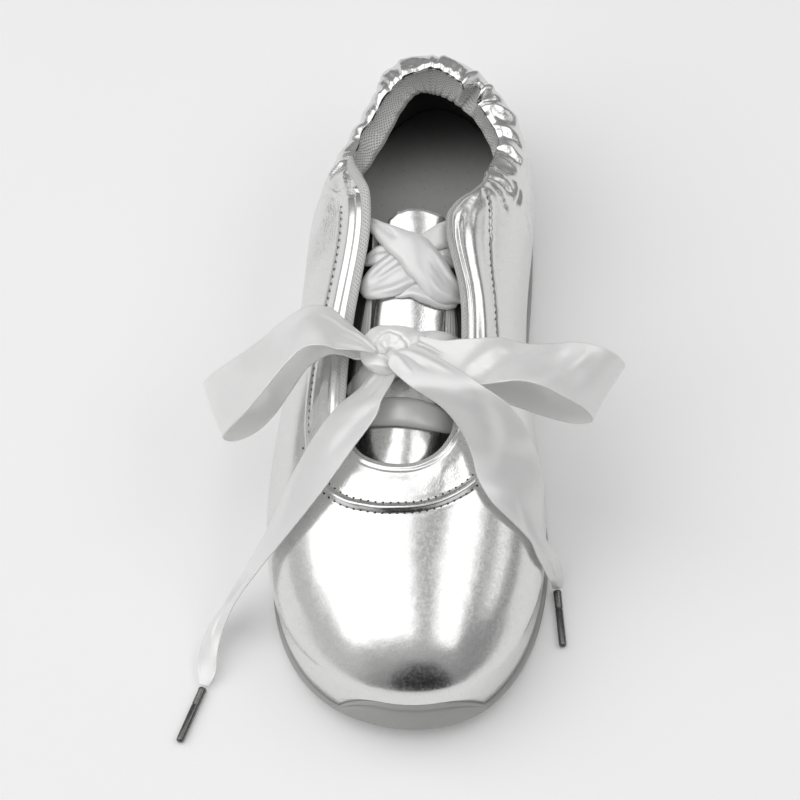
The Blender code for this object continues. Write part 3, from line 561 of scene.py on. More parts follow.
class Finish(Nodes):
    """A Principled material, with values of its sockets and short ways to add nodes to it."""

    def __init__(self, name, **sockets):
        self.material = bpy.data.materials.new(name)
        self.material.use_nodes = True
        super().__init__(self.material.node_tree)
        self.shader = self.tree.nodes["Principled BSDF"]
        self.set(**sockets)

    def set(self, **sockets):
        for socket, value in sockets.items():
            self.feed(self.shader.inputs[socket.replace("_", " ")], value)

    def place(self, scale):
        """Place on the shoe, times scale, in units of a millimetre."""
        place = self.node("TexCoord").outputs["Object"]
        scale = [part / MM for part in scale]
        return self.node("VectorMath", {0: place, 1: scale}, operation="MULTIPLY").outputs[0]

    def cloth(self, scale, turn=0.0):
        """Place on the flat cloth, turned and scaled."""
        place = self.node("UVMap", uv_map=WEAVE).outputs[0]
        return self.node("Mapping", {"Vector": place, "Rotation": (0, 0, turn),
                                     "Scale": (*scale, 1)}).outputs[0]

    def noise(self, vector, scale, detail=2.0, distortion=0.0):
        return self.node("TexNoise", {"Vector": vector, "Scale": scale, "Detail": detail,
                                      "Distortion": distortion}).outputs[0]

    def cells(self, vector, scale, randomness=1.0, feature="F1"):
        return self.node("TexVoronoi", {"Vector": vector, "Scale": scale, "Randomness": randomness},
                         feature=feature).outputs["Distance"]

    def bands(self, direction, inputs):
        """Threads of the flat cloth, in bands across a direction."""
        return self.node("TexWave", {"Vector": self.cloth((1, 1)), **inputs}, wave_type="BANDS",
                         bands_direction=direction).outputs["Fac"]

    def bump(self, height, distance, strength=1.0, over=None):
        """Bump of a height from 0 to 1 that stands for distance millimetres."""
        inputs = {"Height": height, "Distance": distance * MM, "Strength": strength}
        if over is not None:
            inputs["Normal"] = over
        return self.node("Bump", inputs).outputs[0]

    def attribute(self, name):
        return self.node("Attribute", attribute_name=name).outputs["Fac"]


def silver_leather(name, rough, dents):
    """Foil-coated leather: soft mirror, with a fine pebble grain, faint dents, and crinkles where
    the piece's crinkle attribute asks for them."""
    f = Finish(name, Metallic=1.0)
    place = f.place((1, 1, 1))
    f.set(Base_Color=f.colours(f.noise(place, 0.35, 3), grey(0.745, 0.005), grey(0.805, 0.005)))
    f.set(Roughness=f.ramp(f.noise(place, 0.9), 0.3, 0.7, rough - 0.03, rough + 0.04))
    soft = f.bump(f.noise(place, 0.16, 1), 0.16 * dents, 0.6)
    pebbles = f.bump(f.cells(place, 1.15, feature="SMOOTH_F1"), 0.008, over=soft)
    fine = f.bump(f.noise(place, 1.9), 0.004, over=pebbles)
    wrinkles = f.noise(f.place((1.0, 0.7, 1.0)), 1.3, distortion=0.4)
    crinkle = f.node("Math", {0: wrinkles, 1: f.attribute("crinkle")}, operation="MULTIPLY")
    f.set(Normal=f.bump(crinkle.outputs[0], 0.45, over=fine))
    return f.material


def satin_ribbon(name):
    """White satin: very fine cross threads, soft sheen, light that comes through it."""
    f = Finish(name, Roughness=0.33, Metallic=0.15, Sheen_Weight=0.15, Sheen_Roughness=0.4,
               Specular_IOR_Level=0.85, Subsurface_Weight=0.6, Subsurface_Scale=0.002,
               Subsurface_Radius=(1.0, 1.0, 0.96))
    slubs = f.noise(f.cloth((0.2, 3.0)), 1.0, 3)
    f.set(Base_Color=f.colours(slubs, grey(0.83, 0.01), grey(0.87, 0.01)))
    weft = f.bands("Y", {"Scale": 2.0, "Distortion": 1.2, "Detail": 1.0, "Detail Scale": 2.0})
    f.set(Normal=f.bump(f.noise(f.cloth((0.3, 0.10)), 1.0), 0.16, 0.6, f.bump(weft, 0.003)))
    return f.material


def knit(name, light, dark, pitch, deep):
    """Mesh knit: rows of staggered eyelets between rounded yarns, with painted shade where the
    piece's attribute asks for it.
    """
    f = Finish(name, Roughness=0.85, Sheen_Weight=0.2)
    cells = f.cells(f.cloth((1.0, 1.0), math.radians(45)), 1.0 / pitch, 0.12)
    eyelet = f.ramp(cells, 0.10, 0.36)
    yarn = f.noise(f.cloth((1.6, 5.0)), 1.0)
    light_yarn = f.colours(yarn, tuple(0.86 * v for v in light), light)
    mesh = f.colours(eyelet, dark, light_yarn)
    # Painted shade: the piece's attribute mixes the knit towards near black in its gathers' troughs
    # and deep inside the heel.
    f.set(Base_Color=f.colours(f.attribute("pleat_shade"), mesh, grey(0.10)))
    ribs = f.bands("X", {"Scale": 1.15 / pitch, "Distortion": 0.4})
    f.set(Normal=f.bump(eyelet, deep, over=f.bump(ribs, deep / 3)))
    return f.material


def rubber(name):
    """Matte moulded sole, with a faint flow and fine pores."""
    f = Finish(name, Specular_IOR_Level=0.4)
    place = f.place((1, 1, 1))
    f.set(Base_Color=f.colours(f.noise(place, 0.06, 3), grey(0.38, 0.01), grey(0.44, 0.01)))
    f.set(Roughness=f.ramp(f.noise(place, 0.5), 0.3, 0.7, 0.5, 0.66))
    f.set(Normal=f.bump(f.noise(place, 2.8, 3), 0.045))
    return f.material


def heel_shadow(f, share, first, second):
    """Two shades, mixed by share, with painted shade that darkens them from the waist into the
    closed heel, where the collar shades the inside."""
    back = f.node("SeparateXYZ", {"Vector": f.place((1, 1, 1))}).outputs["Y"]
    into = f.ramp(back, 74.0, 112.0)
    return f.colours(share, f.colours(into, grey(first, 0.01), grey(0.030)),
                     f.colours(into, grey(second, 0.01), grey(0.038, 0.001)))


def footbed(name):
    """Grey footbed with a fine suede nap and small pinholes in rows."""
    f = Finish(name, Roughness=0.85, Sheen_Weight=0.1, Specular_IOR_Level=0.2)
    place = f.place((1, 1, 1))
    # Painted shade: the footbed darkens from the waist into the heel.
    shade = heel_shadow(f, f.noise(place, 0.4, 3), 0.42, 0.48)
    holes = f.ramp(f.cells(f.place((1, 1, 0)), 1 / 7.5, 0.0), 0.020, 0.034, 0.45, 1.0)
    f.set(Base_Color=f.colours(holes, grey(0.04), shade))
    f.set(Normal=f.bump(holes, 0.2, over=f.bump(f.noise(place, 3.0, 3), 0.05)))
    return f.material


def inner_cloth(name):
    """Plain woven lining deep inside the shoe."""
    f = Finish(name, Roughness=0.85)
    # Painted shade: the lining darkens from the waist into the heel.
    f.set(Base_Color=heel_shadow(f, f.noise(f.cloth((1.2, 1.2)), 1.0), 0.40, 0.46))
    f.set(Normal=f.bump(f.noise(f.place((1, 1, 1)), 2.2), 0.06))
    return f.material


def elastic(name):
    """Ribbed elastic: lengthwise cords with a fine cross weave, and painted shade, near black,
    where it runs under the leather."""
    f = Finish(name, Roughness=0.75, Sheen_Weight=0.15)
    threads = f.noise(f.cloth((1.5, 6.0)), 1.0)
    cloth = f.colours(threads, grey(0.50, 0.01), grey(0.68, 0.02))
    # Painted shade: near black where the elastic runs into the gap under the facing.
    f.set(Base_Color=f.colours(f.ramp(f.attribute("gap_shade"), 0.30, 0.50), cloth, grey(0.02)))
    weft = f.bands("Y", {"Scale": 0.8})
    f.set(Normal=f.bump(weft, 0.05))
    return f.material


def gunmetal(name):
    """Dark rolled metal with fine lengthwise brushing."""
    f = Finish(name, Metallic=1.0)
    f.set(Base_Color=f.colours(f.noise(f.place((1, 1, 1)), 0.8), grey(0.10), grey(0.20, 0.005)))
    f.set(Roughness=f.ramp(f.noise(f.place((3, 0.3, 3)), 1.0), 0.3, 0.7, 0.18, 0.32))
    return f.material


def thread(name, colour):
    """Sewing thread."""
    f = Finish(name, Roughness=0.6)
    twist = f.noise(f.place((1, 1, 1)), 4.0, 1)
    f.set(Base_Color=f.colours(twist, tuple(0.8 * v for v in colour), colour))
    f.set(Normal=f.bump(twist, 0.05))
    return f.material


# ---------------------------------------------------------------- the upper, in detail
SKIN = {}                # the finished outer surface: runs, depths and points
LATERAL_RUN, MEDIAL_RUN = 111.9, 262.3       # run along the top edge where the facings end

# Seam of the throat's overlay: run along the top edge and distance down from it.
SEAM = ((0, 13), (6, 13.4), (12, 14), (20, 14.4), (40, 14.6), (111.9, 14.7), (130, 15), (247, 0.5),
        (262, 2.5), (264, 5), (266.5, 7.8), (269, 10.3), (271.5, 12.4), (274, 14.6), (277, 17),
        (280, 18.9), (285, 19.7), (290, 19.2), (295, 18.2), (300, 17), (305, 16), (312, 15),
        (320, 14.5), (340, 14.6), (355, 13.8), (368, 12.8), (379.4, 13))
# Height of the overlay over the last's surface, by share of the way from the top edge to its seam,
# and past the seam by distance.
FACING_MEDIAL = ((0, 0.1), (0.07, 0.6), (0.13, 0.4), (0.22, 1.35), (0.33, 0.2), (0.55, 1.45),
                 (0.8, 1), (0.97, 0.25), (1, 0.1))
FACING_LATERAL = ((0, 0.1), (0.08, 0.5), (0.22, 0.3), (0.33, 1.3), (0.43, 0.15), (0.62, 1.15),
                  (0.82, 0.85), (0.97, 0.2), (1, 0.1))
FACING_CORNER = ((0, 0.1), (0.05, 0.7), (0.12, 0.25), (0.45, 1), (0.8, 0.7), (0.97, 0.3), (1, 0.1))
FACING_PLAIN = ((0, 0.1), (0.06, 0.7), (0.14, 0.3), (0.2, 0.55), (0.5, 0.8), (0.85, 0.6),
                (0.97, 0.45), (1, 0.35))
OUTER_EDGE = ((0, 0.05), (0.45, 0.35), (1.4, 0.45), (2, 0.08), (2.6, 0), (5, 0))
WELT = ((0, 0.4), (0.6, 0.6), (1.2, 1.35), (1.9, 1.7), (2.6, 1.2), (3.2, 0.3), (3.9, -0.1), (5, 0),
        (8, 0))
ROLL = ((0, 0.2), (2, 1.4), (5, 2), (9, 1.9), (12.5, 1.2), (15.5, 0.1), (18, 0.3), (24, 0))
# How far the gathered roll stands out, by run along the top edge.
ROLL_SHARE = ((108, 0.6), (125, 0.45), (140, 0.3), (166, 0.3), (172, 0.7), (186, 0.75), (196, 0.8),
              (212, 0.9), (226, 0.7), (246, 0.6), (262, 0.4))

FINE_GATHERS = ((2.7, 0.05, 0.1), (3.9, 0.08, 0.45), (6.1, 0.12, 0.8))    # waves of the roll

# Creases of the upper; their lines are run along the top edge and distance down from it.
CREASES = [Crease(*row) for row in (
    # lateral corner: the twisted leaf, its slit and the bright arc over it
    (-1.7, 2.2, 1.2, ((133, 2.5), (127, 5), (120, 7), (113, 8.5))),
    (1.5, 1, 1.8, ((139, 1), (137, 5), (134, 10), (131, 14))),
    (0.9, 0.9, 0.9, ((134, 1.5), (130, 4.5), (127, 6))),
    (-1.2, 3, 3, ((131, 8), (122, 11), (116, 12))),
    (1, 1, 1.6, ((137, 15), (128, 16), (118, 15), (112, 13.5))),
    (-0.7, 1.4, 1.4, ((108.5, 1.5), (110.5, 6), (111.5, 12))),
    (0.7, 0.8, 0.8, ((110.3, 2), (112.4, 6), (113, 11))),
    (-1.1, 3, 3, ((112, 16), (107, 21), (104, 27))),
    (0.5, 2, 2, ((117, 17), (113, 22), (110, 27))),
    # lateral side of the roll
    (-0.8, 1.2, 2, ((143, 0.5), (142, 5), (143, 11))),
    (0.9, 1.5, 1.5, ((147, 1.5), (146, 6), (147.5, 12))),
    (-0.9, 1, 1.6, ((150.5, 0), (150, 5), (152, 13))),
    (0.8, 1.2, 1.4, ((154, 2), (153.5, 7), (155, 12))),
    (-1, 0.9, 1.5, ((157, 0), (157.5, 6), (159, 14))),
    (0.9, 1.4, 1.1, ((160.5, 1), (161, 6), (162, 11))),
    (-0.8, 1, 1, ((163.5, 0), (164, 4), (165, 10))),
    (1.2, 1.4, 0.9, ((171, 1), (167.5, 2.5), (165.5, 4.5), (166, 8))),
    (-1, 1, 1.4, ((168.5, 4.5), (169, 9), (171, 14))),
    # lateral back: the puff and its pinched folds
    (2.6, 4, 3.2, ((172.5, 3.5), (174, 8), (175.5, 13))),
    (-1.4, 0.8, 1, ((172.6, 0), (172, 5), (171, 12))),
    (-1.1, 0.7, 0.9, ((175.2, 0), (174.6, 3.5), (173.6, 8))),
    (-1.1, 0.7, 0.9, ((177.6, 0.5), (177.4, 4), (176.4, 9.5))),
    (1, 0.8, 1, ((178.8, 0.5), (179.2, 4), (179.4, 9))),
    (2.2, 3.2, 3.8, ((180.5, 4), (181, 9), (181.5, 14))),
    (-1.6, 1.8, 2.2, ((184.5, 0.8), (183.5, 3), (181.8, 5))),
    # back: fine gathers
    (-0.8, 0.7, 0.9, ((187, 0), (187, 4), (186.6, 9))),
    (0.7, 0.8, 0.8, ((188.4, 0.5), (188.6, 5), (188.4, 10))),
    (-0.9, 0.6, 0.7, ((189.8, 0), (190, 5), (190.2, 11))),
    (0.6, 0.8, 0.9, ((191.4, 0.5), (191.6, 4), (192, 8))),
    (-0.6, 0.6, 0.8, ((193.2, 0), (193.6, 3.5), (194.2, 6))),
    (-0.6, 0.6, 0.8, ((195.8, 0), (196.4, 3), (197, 6))),
    (0.9, 1.4, 1.6, ((190, 6.5), (195, 5.5), (199.5, 3))),
    (-0.5, 0.6, 0.7, ((198.2, 0), (198.8, 2.5), (199.6, 5))),
    # the two deep S folds
    (2.2, 1.2, 1, ((201.5, 0), (201.8, 4), (203.2, 8))),
    (-2.6, 1.3, 1.6, ((204.8, 0), (205, 4), (206.5, 9), (208, 14))),
    (2, 1, 1.1, ((208, 0), (208.2, 3.5), (209.2, 7))),
    (-1.6, 1, 1.2, ((210.8, 0.2), (211, 3), (212, 7))),
    (1.7, 1, 1.8, ((211.5, 1.2), (214.5, 4), (217, 8.5), (219, 13))),
    (-1.2, 1.6, 1.2, ((216.5, 0.5), (218.5, 3.5), (221, 8))),
    (0.8, 1, 1.2, ((215, 0.6), (217.4, 1.8), (219.6, 2.6))),
    # medial side of the roll
    (0.9, 1.6, 1.2, ((221.5, 0.5), (223, 5), (225, 10))),
    (-1, 0.9, 1.3, ((224.5, 1), (226, 5), (228.5, 10))),
    (1.5, 0.9, 1.6, ((226.8, 1.5), (229.5, 4), (231.5, 8), (231.5, 12))),
    (-1.2, 0.9, 0.9, ((230.5, 0.8), (232.5, 4.5), (234.5, 9))),
    (1.1, 0.9, 1.6, ((234.5, 1), (236.5, 5), (238.5, 10))),
    (-1.1, 1.4, 1.4, ((240, 0.5), (241.5, 4), (243, 8))),
    (1, 1, 1.6, ((245.5, 0.8), (246, 3.5), (247, 6.5))),
    # medial corner: two leaves that tuck behind the facing
    (-1.6, 1.6, 1.2, ((251, 0.5), (251.5, 4.5), (253, 9), (256, 13))),
    (1.7, 1.2, 2, ((243.5, 9), (247, 11.5), (252, 14.5), (257.5, 17))),
    (-1.6, 1, 1.4, ((243, 12.5), (248, 15.5), (253, 18), (258.5, 20))),
    (0.8, 1.6, 1.6, ((247.5, 5), (250, 8.5), (254, 12.5))),
    (-0.9, 0.9, 0.9, ((256.2, 1), (258, 6), (262, 13), (266, 18.5))),
    # medial quarter: shallow drag lines under the corner
    (0.45, 1.4, 1.4, ((256, 22), (262, 30), (268, 38))),
    (-0.4, 1.3, 1.3, ((252.5, 23), (258.5, 32), (264.5, 41))),
    (0.45, 1.5, 1.5, ((249.5, 23), (254.5, 33), (260, 43))),
    (-0.4, 1.6, 1.6, ((246, 22), (250.5, 33), (254, 44))),
    (0.8, 7, 7, ((236, 22), (240, 34), (246, 46))),
    (-0.8, 7, 7, ((222, 24), (226, 36), (232, 46))),
    # lateral quarter and heel: shallow pulls
    (-0.8, 6, 6, ((136, 22), (132, 32), (126, 42))),
    (0.7, 6, 6, ((148, 22), (146, 33), (142, 44))),
    (-0.6, 4.5, 4.5, ((160, 20), (160.5, 29), (160, 38))),
    (0.6, 5, 5, ((170, 20), (171, 28), (171, 38))),
    (-0.5, 4.5, 4.5, ((204, 20), (203.5, 29), (203, 38))),
    # band ahead of the throat: faint pulls
    (0.10, 1.4, 1.4, ((366, 3), (368, 8), (369.5, 12.5))),
    (-0.08, 1.4, 1.4, ((363, 5), (365, 9), (366.5, 12.5))),
)]

# How strong the creases are, by run along the top edge.
CREASE_SHARE = ((0, 1), (140, 0.9), (144, 0.4), (166, 0.4), (172, 0.62), (185, 0.55), (200, 0.8),
                (214, 0.8), (222, 0.55), (240, 0.55), (250, 0.8), (379.4, 1))

# Where the top edge wanders from the last's line: run, shift inward and shift up.
EDGE_SHIFTS = ((0, 0, 0), (108, 0, 0), (118, -0.6, 0.2), (130, -0.5, 0.3), (140, -0.6, 0.2),
               (148, 0.6, 0), (154, -0.4, 0.3), (160, 0.6, 0), (167, 0.8, 0.2), (172, 1.4, 0),
               (177, 1.2, 0.5), (183, 0.6, 0.4), (189, -0.3, 0.5), (195, 0.3, 0.3), (200, 0.8, 0.2),
               (202.6, 2, 0), (205.4, -3.6, 0.6), (207.4, -2.4, 0.3), (209.8, 1, -0.2), (213, 1, 0),
               (219, 0.6, 0.2), (226, -0.2, 0), (231, 0.8, 0.2), (238, 1.2, 0), (246, 1.5, 0.2),
               (252, 0.6, 0), (258, 0.4, 0), (264, 1, 0), (270, 1.9, 0), (277, 1.2, 0),
               (285, 0.2, 0), (292, 0, 0), (379.4, 0, 0))

# Fine crinkles in the leather: run and depth of the middle, reach along and down, strength.
CRINKLES = ((104, 21, 8, 6, 0.8), (98, 27, 8, 7, 0.8), (92, 33, 8, 8, 0.5), (118, 19, 6, 4.5, 0.7),
            (252, 24, 6, 5, 0.3), (157, 4, 22, 5, 0.2), (190, 3, 13, 3.5, 0.25),
            (219, 6, 10, 6, 0.15), (365, 10, 8, 4, 0.2), (236, 8, 10, 8, 0.12),
            (15, 11, 6, 4, 0.15))


def crinkle_field(run, depth):
    """How crinkled the leather is at each place, from 0 to 1."""
    total = np.zeros(np.shape(run))
    for middle, down, along, across, strength in CRINKLES:
        total += strength * np.exp(-((run - middle) / along) ** 2 - ((depth - down) / across) ** 2)
    return np.clip(total, 0, 1)


def edge_shift(run):
    """Shift of the top edge inward and up."""
    return profile(EDGE_SHIFTS, run), profile(EDGE_SHIFTS, run, 2)


def collar_share(run):
    """1 around the collar and 0 along the throat."""
    return smoothstep(LATERAL_RUN - 1.5, LATERAL_RUN + 2.5, run) * (1 - smoothstep(
        MEDIAL_RUN - 2.5, MEDIAL_RUN + 1.5, run))


def seam_place(run, depth):
    """Share of the way from the top edge to the overlay's seam, and distance past the seam."""
    seam = profile(SEAM, run)
    slope = profile(SEAM, run + 0.5) - profile(SEAM, run - 0.5)
    return depth / seam, (depth - seam) / np.sqrt(1 + slope ** 2)


def skin_relief(run, depth):
    """Height of the leather over the last's surface."""
    from_front = np.minimum(run, TOP_GIRTH - run)
    front = 1 - smoothstep(19, 29, from_front)
    plain = 1 - smoothstep(24, 46, from_front)
    share, past = seam_place(run, depth)
    corner = smoothstep(272.0, 288.0, run)
    medial = profile(FACING_MEDIAL, share) * corner + profile(FACING_CORNER, share) * (1 - corner)
    side = np.where(run > TOP_GIRTH / 2, medial, profile(FACING_LATERAL, share))
    inside = side * (1 - plain) + profile(FACING_PLAIN, share) * plain
    outside = profile(OUTER_EDGE, past) * (1 - front) + profile(WELT, past) * front
    throat = np.where(past > 0, outside, inside)
    collar = collar_share(run)
    roll = profile(ROLL, depth) * profile(ROLL_SHARE, run)
    gather = waves(run, FINE_GATHERS) * np.exp(-(depth / 7.0) ** 2)
    return throat * (1 - collar) + (roll + gather * smoothstep(0.0, 1.5, depth)) * collar


def levelled(down):
    """Level directions inward, from directions down the wall."""
    return unit(-down * np.array([1.0, 1.0, 0.0]))


def wall_grid(depths, shares, hold):
    """The last's wall in fine rows, with the wander of its top edge, which is gone at the depth
    hold. Returns places around the shoe, run and depth at each point, the points, their outward
    directions and the top edge's direction down."""
    where = columns(PER_STATION)
    rows = wall_points(where, depths, np.linspace(0, 1, shares)[1:])
    depth = run_along(rows)
    run = np.broadcast_to(TOP_RUN(where), depth.shape)
    down = unit(rows[1] - rows[0])
    held = 1 - smoothstep(0.0, hold, depth)
    inward, up = edge_shift(run[0])
    shift = levelled(down) * (inward * held)[..., None]
    shift[..., 2] += up * held
    return where, run, depth, rows + shift, surface_normals(rows), down


def on_skin(run, depth):
    """Points on the finished leather and its outward directions there."""
    runs = np.append(SKIN["run"], TOP_GIRTH)
    points, depths = SKIN["points"], SKIN["depth"]
    out = surface_normals(points)
    found, facing = [], []
    for r, d in zip(np.atleast_1d(run) % TOP_GIRTH, np.atleast_1d(depth)):
        column = np.interp(r, runs, np.arange(len(runs)))
        low = int(column)
        sides = []
        for c in (low % len(SKIN["run"]), (low + 1) % len(SKIN["run"])):
            sides.append([[np.interp(d, depths[:, c], grid[:, c, axis]) for axis in range(3)]
                          for grid in (points, out)])
        a, b = np.array(sides)
        found.append(a[0] * (low + 1 - column) + b[0] * (column - low))
        facing.append(a[1] * (low + 1 - column) + b[1] * (column - low))
    return np.array(found), unit(np.array(facing))


def make_stitches(name, from_run, to_run, past, pitch, size, finish):
    """Sunk stitches along the overlay's seam, past millimetres below it. size is half their length,
    width and height."""
    runs = np.arange(from_run, to_run, 0.25)
    length = run_along(on_skin(runs, profile(SEAM, runs % TOP_GIRTH) + past)[0])
    at = np.interp(np.arange(pitch / 2, length[-1], pitch), length, runs)
    points, out = on_skin(at, profile(SEAM, at % TOP_GIRTH) + past)
    along = unit(np.gradient(points, axis=0))
    side = unit(np.cross(out, along))
    steps = 10
    angles = 2 * math.pi * np.arange(steps)[:, None] / steps
    verts, faces = [], []
    for k, point in enumerate(points):
        first = len(verts)
        for height, reach in ((-0.10, 1.0), (0.5, 0.8)):
            verts.extend(point + along[k] * size[0] * reach * np.cos(angles)
                         + side[k] * size[1] * reach * np.sin(angles) + out[k] * size[2] * height)
        verts.append(point + out[k] * size[2])
        for j in range(steps):
            after = (j + 1) % steps
            faces.append((first + j, first + after, first + steps + after, first + steps + j))
            faces.append((first + steps + j, first + steps + after, first + 2 * steps))
        faces.append(tuple(range(first, first + steps))[::-1])
    build(name, place(verts), faces, finish)


# How the leather wraps the sole's sidewall: all round but the toe bumper, whose top falls away in
# an arc to both sides.
WRAP_OUT = 1.2                       # inset of its outer face from the sole's outline
WRAP_THICK = 0.7
WRAP_REACH = 16.0                    # length over which it swells out to pass the rim
BASE_HEIGHT = 3.0                    # bare rubber under the wrap
BUMPER_ARC, BUMPER_REACH = 16.5, 25.0    # rise of the bumper over that, and its half length


def beside_bumper(where):
    """Distance along x from the bumper's middle; far from the toe it is large."""
    edge = OUTLINE(where)
    return np.abs(edge[:, 0] - BUMPER_X) + 100.0 * smoothstep(20.0, 30.0, edge[:, 1])


def rubber_top(where):
    """Top of the bare rubber around the shoe."""
    edge = OUTLINE(where)
    arc = BUMPER_ARC * np.clip(1 - (beside_bumper(where) / BUMPER_REACH) ** 3.5, 0, None)
    return np.minimum(platform(edge[:, 1]) + CUP_DEPTH + BUMPER_LIFT,
                      ground(edge[:, 1]) + (BASE_HEIGHT + arc))


def wrap_rows(where):
    """Rows that carry the leather on from its foot, down over the sidewall to the bare rubber.
    Returns outer rows from the foot down and inner rows back up."""
    edge = OUTLINE(where)
    top = foot_height(edge[:, 0], edge[:, 1]) + GAP
    end = np.minimum(rubber_top(where) + 0.2, top - 0.1)
    bulge = 0.3 * np.clip((top - end) / 8.0, 0, 1)
    outer, inner = [], []
    for share in np.linspace(0.06, 1.0, 12):
        belly = bulge * math.sin(math.pi * min(1.0, share * 1.1)) ** 2 - 0.25 * share ** 8
        outer.append(np.column_stack([inset(where, WRAP_OUT - belly), top + (end - top) * share]))
        inner.append(np.column_stack([inset(where, WRAP_OUT + WRAP_THICK),
                                      top + (end + 0.1 - top) * share]))
    return np.array(outer), np.array(inner[::-1])


def rounded(rows, first, last, passes):
    """Rows with the bend between the first and the last of them rounded off."""
    rows = rows.copy()
    for _ in range(passes):
        beside = (rows[first - 1:last - 1] + rows[first + 1:last + 1]) / 2
        rows[first:last] += 0.5 * (beside - rows[first:last])
    return rows


INNER_STEP = 4           # rows of the outer face to one of the inner
INNER_RISE = 0.6         # how far the inner face follows the relief
# Rows beside the leather's bend over the rim, and how often they are smoothed.
TOE_BEND, SIDE_BEND = (3, 10), (7, 40)


def make_upper_skin(finish):
    """Leather of the upper: throat band, facings, piped seam, gathered collar roll and quarters."""
    depths = np.concatenate([np.arange(0, 6, 0.4), np.arange(6, 22, 0.5), np.arange(22, 30, 1.0)])
    where, run, depth, base, out, down = wall_grid(depths, 30, 9.0)
    height = skin_relief(run, depth) + relief(CREASES, run, depth, 1) * profile(CREASE_SHARE, run)
    # The relief fades out over the last rows, so that the foot stays in the cup.
    foot_fade = 1 - smoothstep(0.0, 1.0, np.linspace(-11, 1, len(base))[:, None])
    skin = base + out * (height * foot_fade)[..., None]
    inner = (base + out * (np.minimum(height, INNER_RISE) - LEATHER)[..., None])[::INNER_STEP]
    inner[0] = skin[0] + (inner[0] - skin[0]) * 0.9 + down * 0.5
    from_foot = depth[-1] - depth
    swell = (RIM + GAP - WRAP_OUT) * (1 - smoothstep(0.0, WRAP_REACH, from_foot))
    level_out = np.column_stack([outline_normal(where), np.zeros(len(where))])
    skin = skin + level_out[None] * swell[..., None]
    SKIN.update(run=run[0], depth=depth, points=skin)
    inner = inner + level_out[None] * np.maximum(swell[::INNER_STEP] - 0.1, 0)[..., None]
    wrap_outer, wrap_inner = wrap_rows(where)
    outer = np.concatenate([skin, wrap_outer])
    broad = smoothstep(40.0, 70.0, OUTLINE(where)[:, 1])[None, :, None]
    toe, side = (rounded(outer, len(skin) - beside, len(skin) + beside + 1, passes)
                 for beside, passes in (TOE_BEND, SIDE_BEND))
    outer = toe * (1 - broad) + side * broad
    loops = np.concatenate([outer, wrap_inner, inner[1:-1][::-1], inner[:1]])
    faces = grid_faces(len(loops), len(where), wrap_cols=True, wrap_rows=True)
    made = build("upper_leather", place(loops), faces, finish, ("upper",))
    crinkled = np.zeros(loops.shape[:2])
    crinkled[:len(skin)] = crinkle_field(run, depth)
    mark(made, "crinkle", crinkled)


# ---------------------------------------------------------------- lining and binding
# Thickness of the padded knit collar by distance down inside, at the sides and at the heel.
PAD = ((0, 1.2), (0.8, 4.2), (2.5, 7.4), (5.5, 9.6), (9.5, 10.4), (14, 9.4), (18, 6.4), (22, 3.2),
       (26, 2), (30, 1.7))
THIN = 1.6               # thickness of the collar's lining without padding
# Share of that padding by run along the top edge.
PAD_SHARE = ((108, 0.35), (122, 0.45), (132, 0.75), (142, 0.98), (150, 1.05), (158, 1.08),
             (168, 1.05), (178, 1.02), (190, 1.22), (203, 1.2), (212, 1.1), (228, 1.05), (246, 0.9),
             (256, 0.5), (262, 0.3))
PAD_THROAT = ((0, 1.2), (4, 1.6), (30, 1.6))
# Gathers of the knit: run, half width, depth of the trough and sideways lean down the lining.
GATHERS = ((144, 2, 0.3, 2), (151, 2.2, 0.3, 2), (158, 2, 0.3, 1.5), (165, 1.8, 0.3, 1.5),
           (171, 1.5, 0.35, 1.5), (176, 1, 0.5, 1), (180, 0.8, 0.6, 0.8), (184.5, 0.7, 0.7, 0.6),
           (188, 0.6, 0.8, 0.2), (191, 0.6, 0.7, 0), (194.4, 0.6, 0.9, -0.4),
           (198.2, 0.6, 0.7, -0.8), (201.5, 0.7, 0.9, -1), (205.5, 1, 0.9, -1.4),
           (211.5, 1.4, 0.5, -1.6), (217, 1.6, 0.35, -2), (223, 1.8, 0.3, -2), (230, 2, 0.3, -2),
           (238, 2.2, 0.3, -2), (246, 2, 0.3, -2))


LINING_BACK = 1.0        # how far the lining's hidden side lies under the last's surface
LINING_STEP = 5          # rows of the lining's seen side to one of its hidden side
# The lining's foot: inset past the rim, share of the way down to the platform, and cloth used.
SKIRT = ((1.9, 0.35, 1.5), (1.9, 0.7, 3.0), (1.9, 1, 4.5), (1.1, 1, 5.0))


def gathered(run, depth, narrow, low, high):
    """Depth of the knit's gathers, each narrowed, that set in between the depths low and high."""
    total = 0.0
    for middle, half, fall, lean in GATHERS:
        line = (run - middle - lean * depth / 10.0) / (narrow * half)
        total = total + fall * np.exp(-line ** 2) * smoothstep(low, high, depth)
    return total


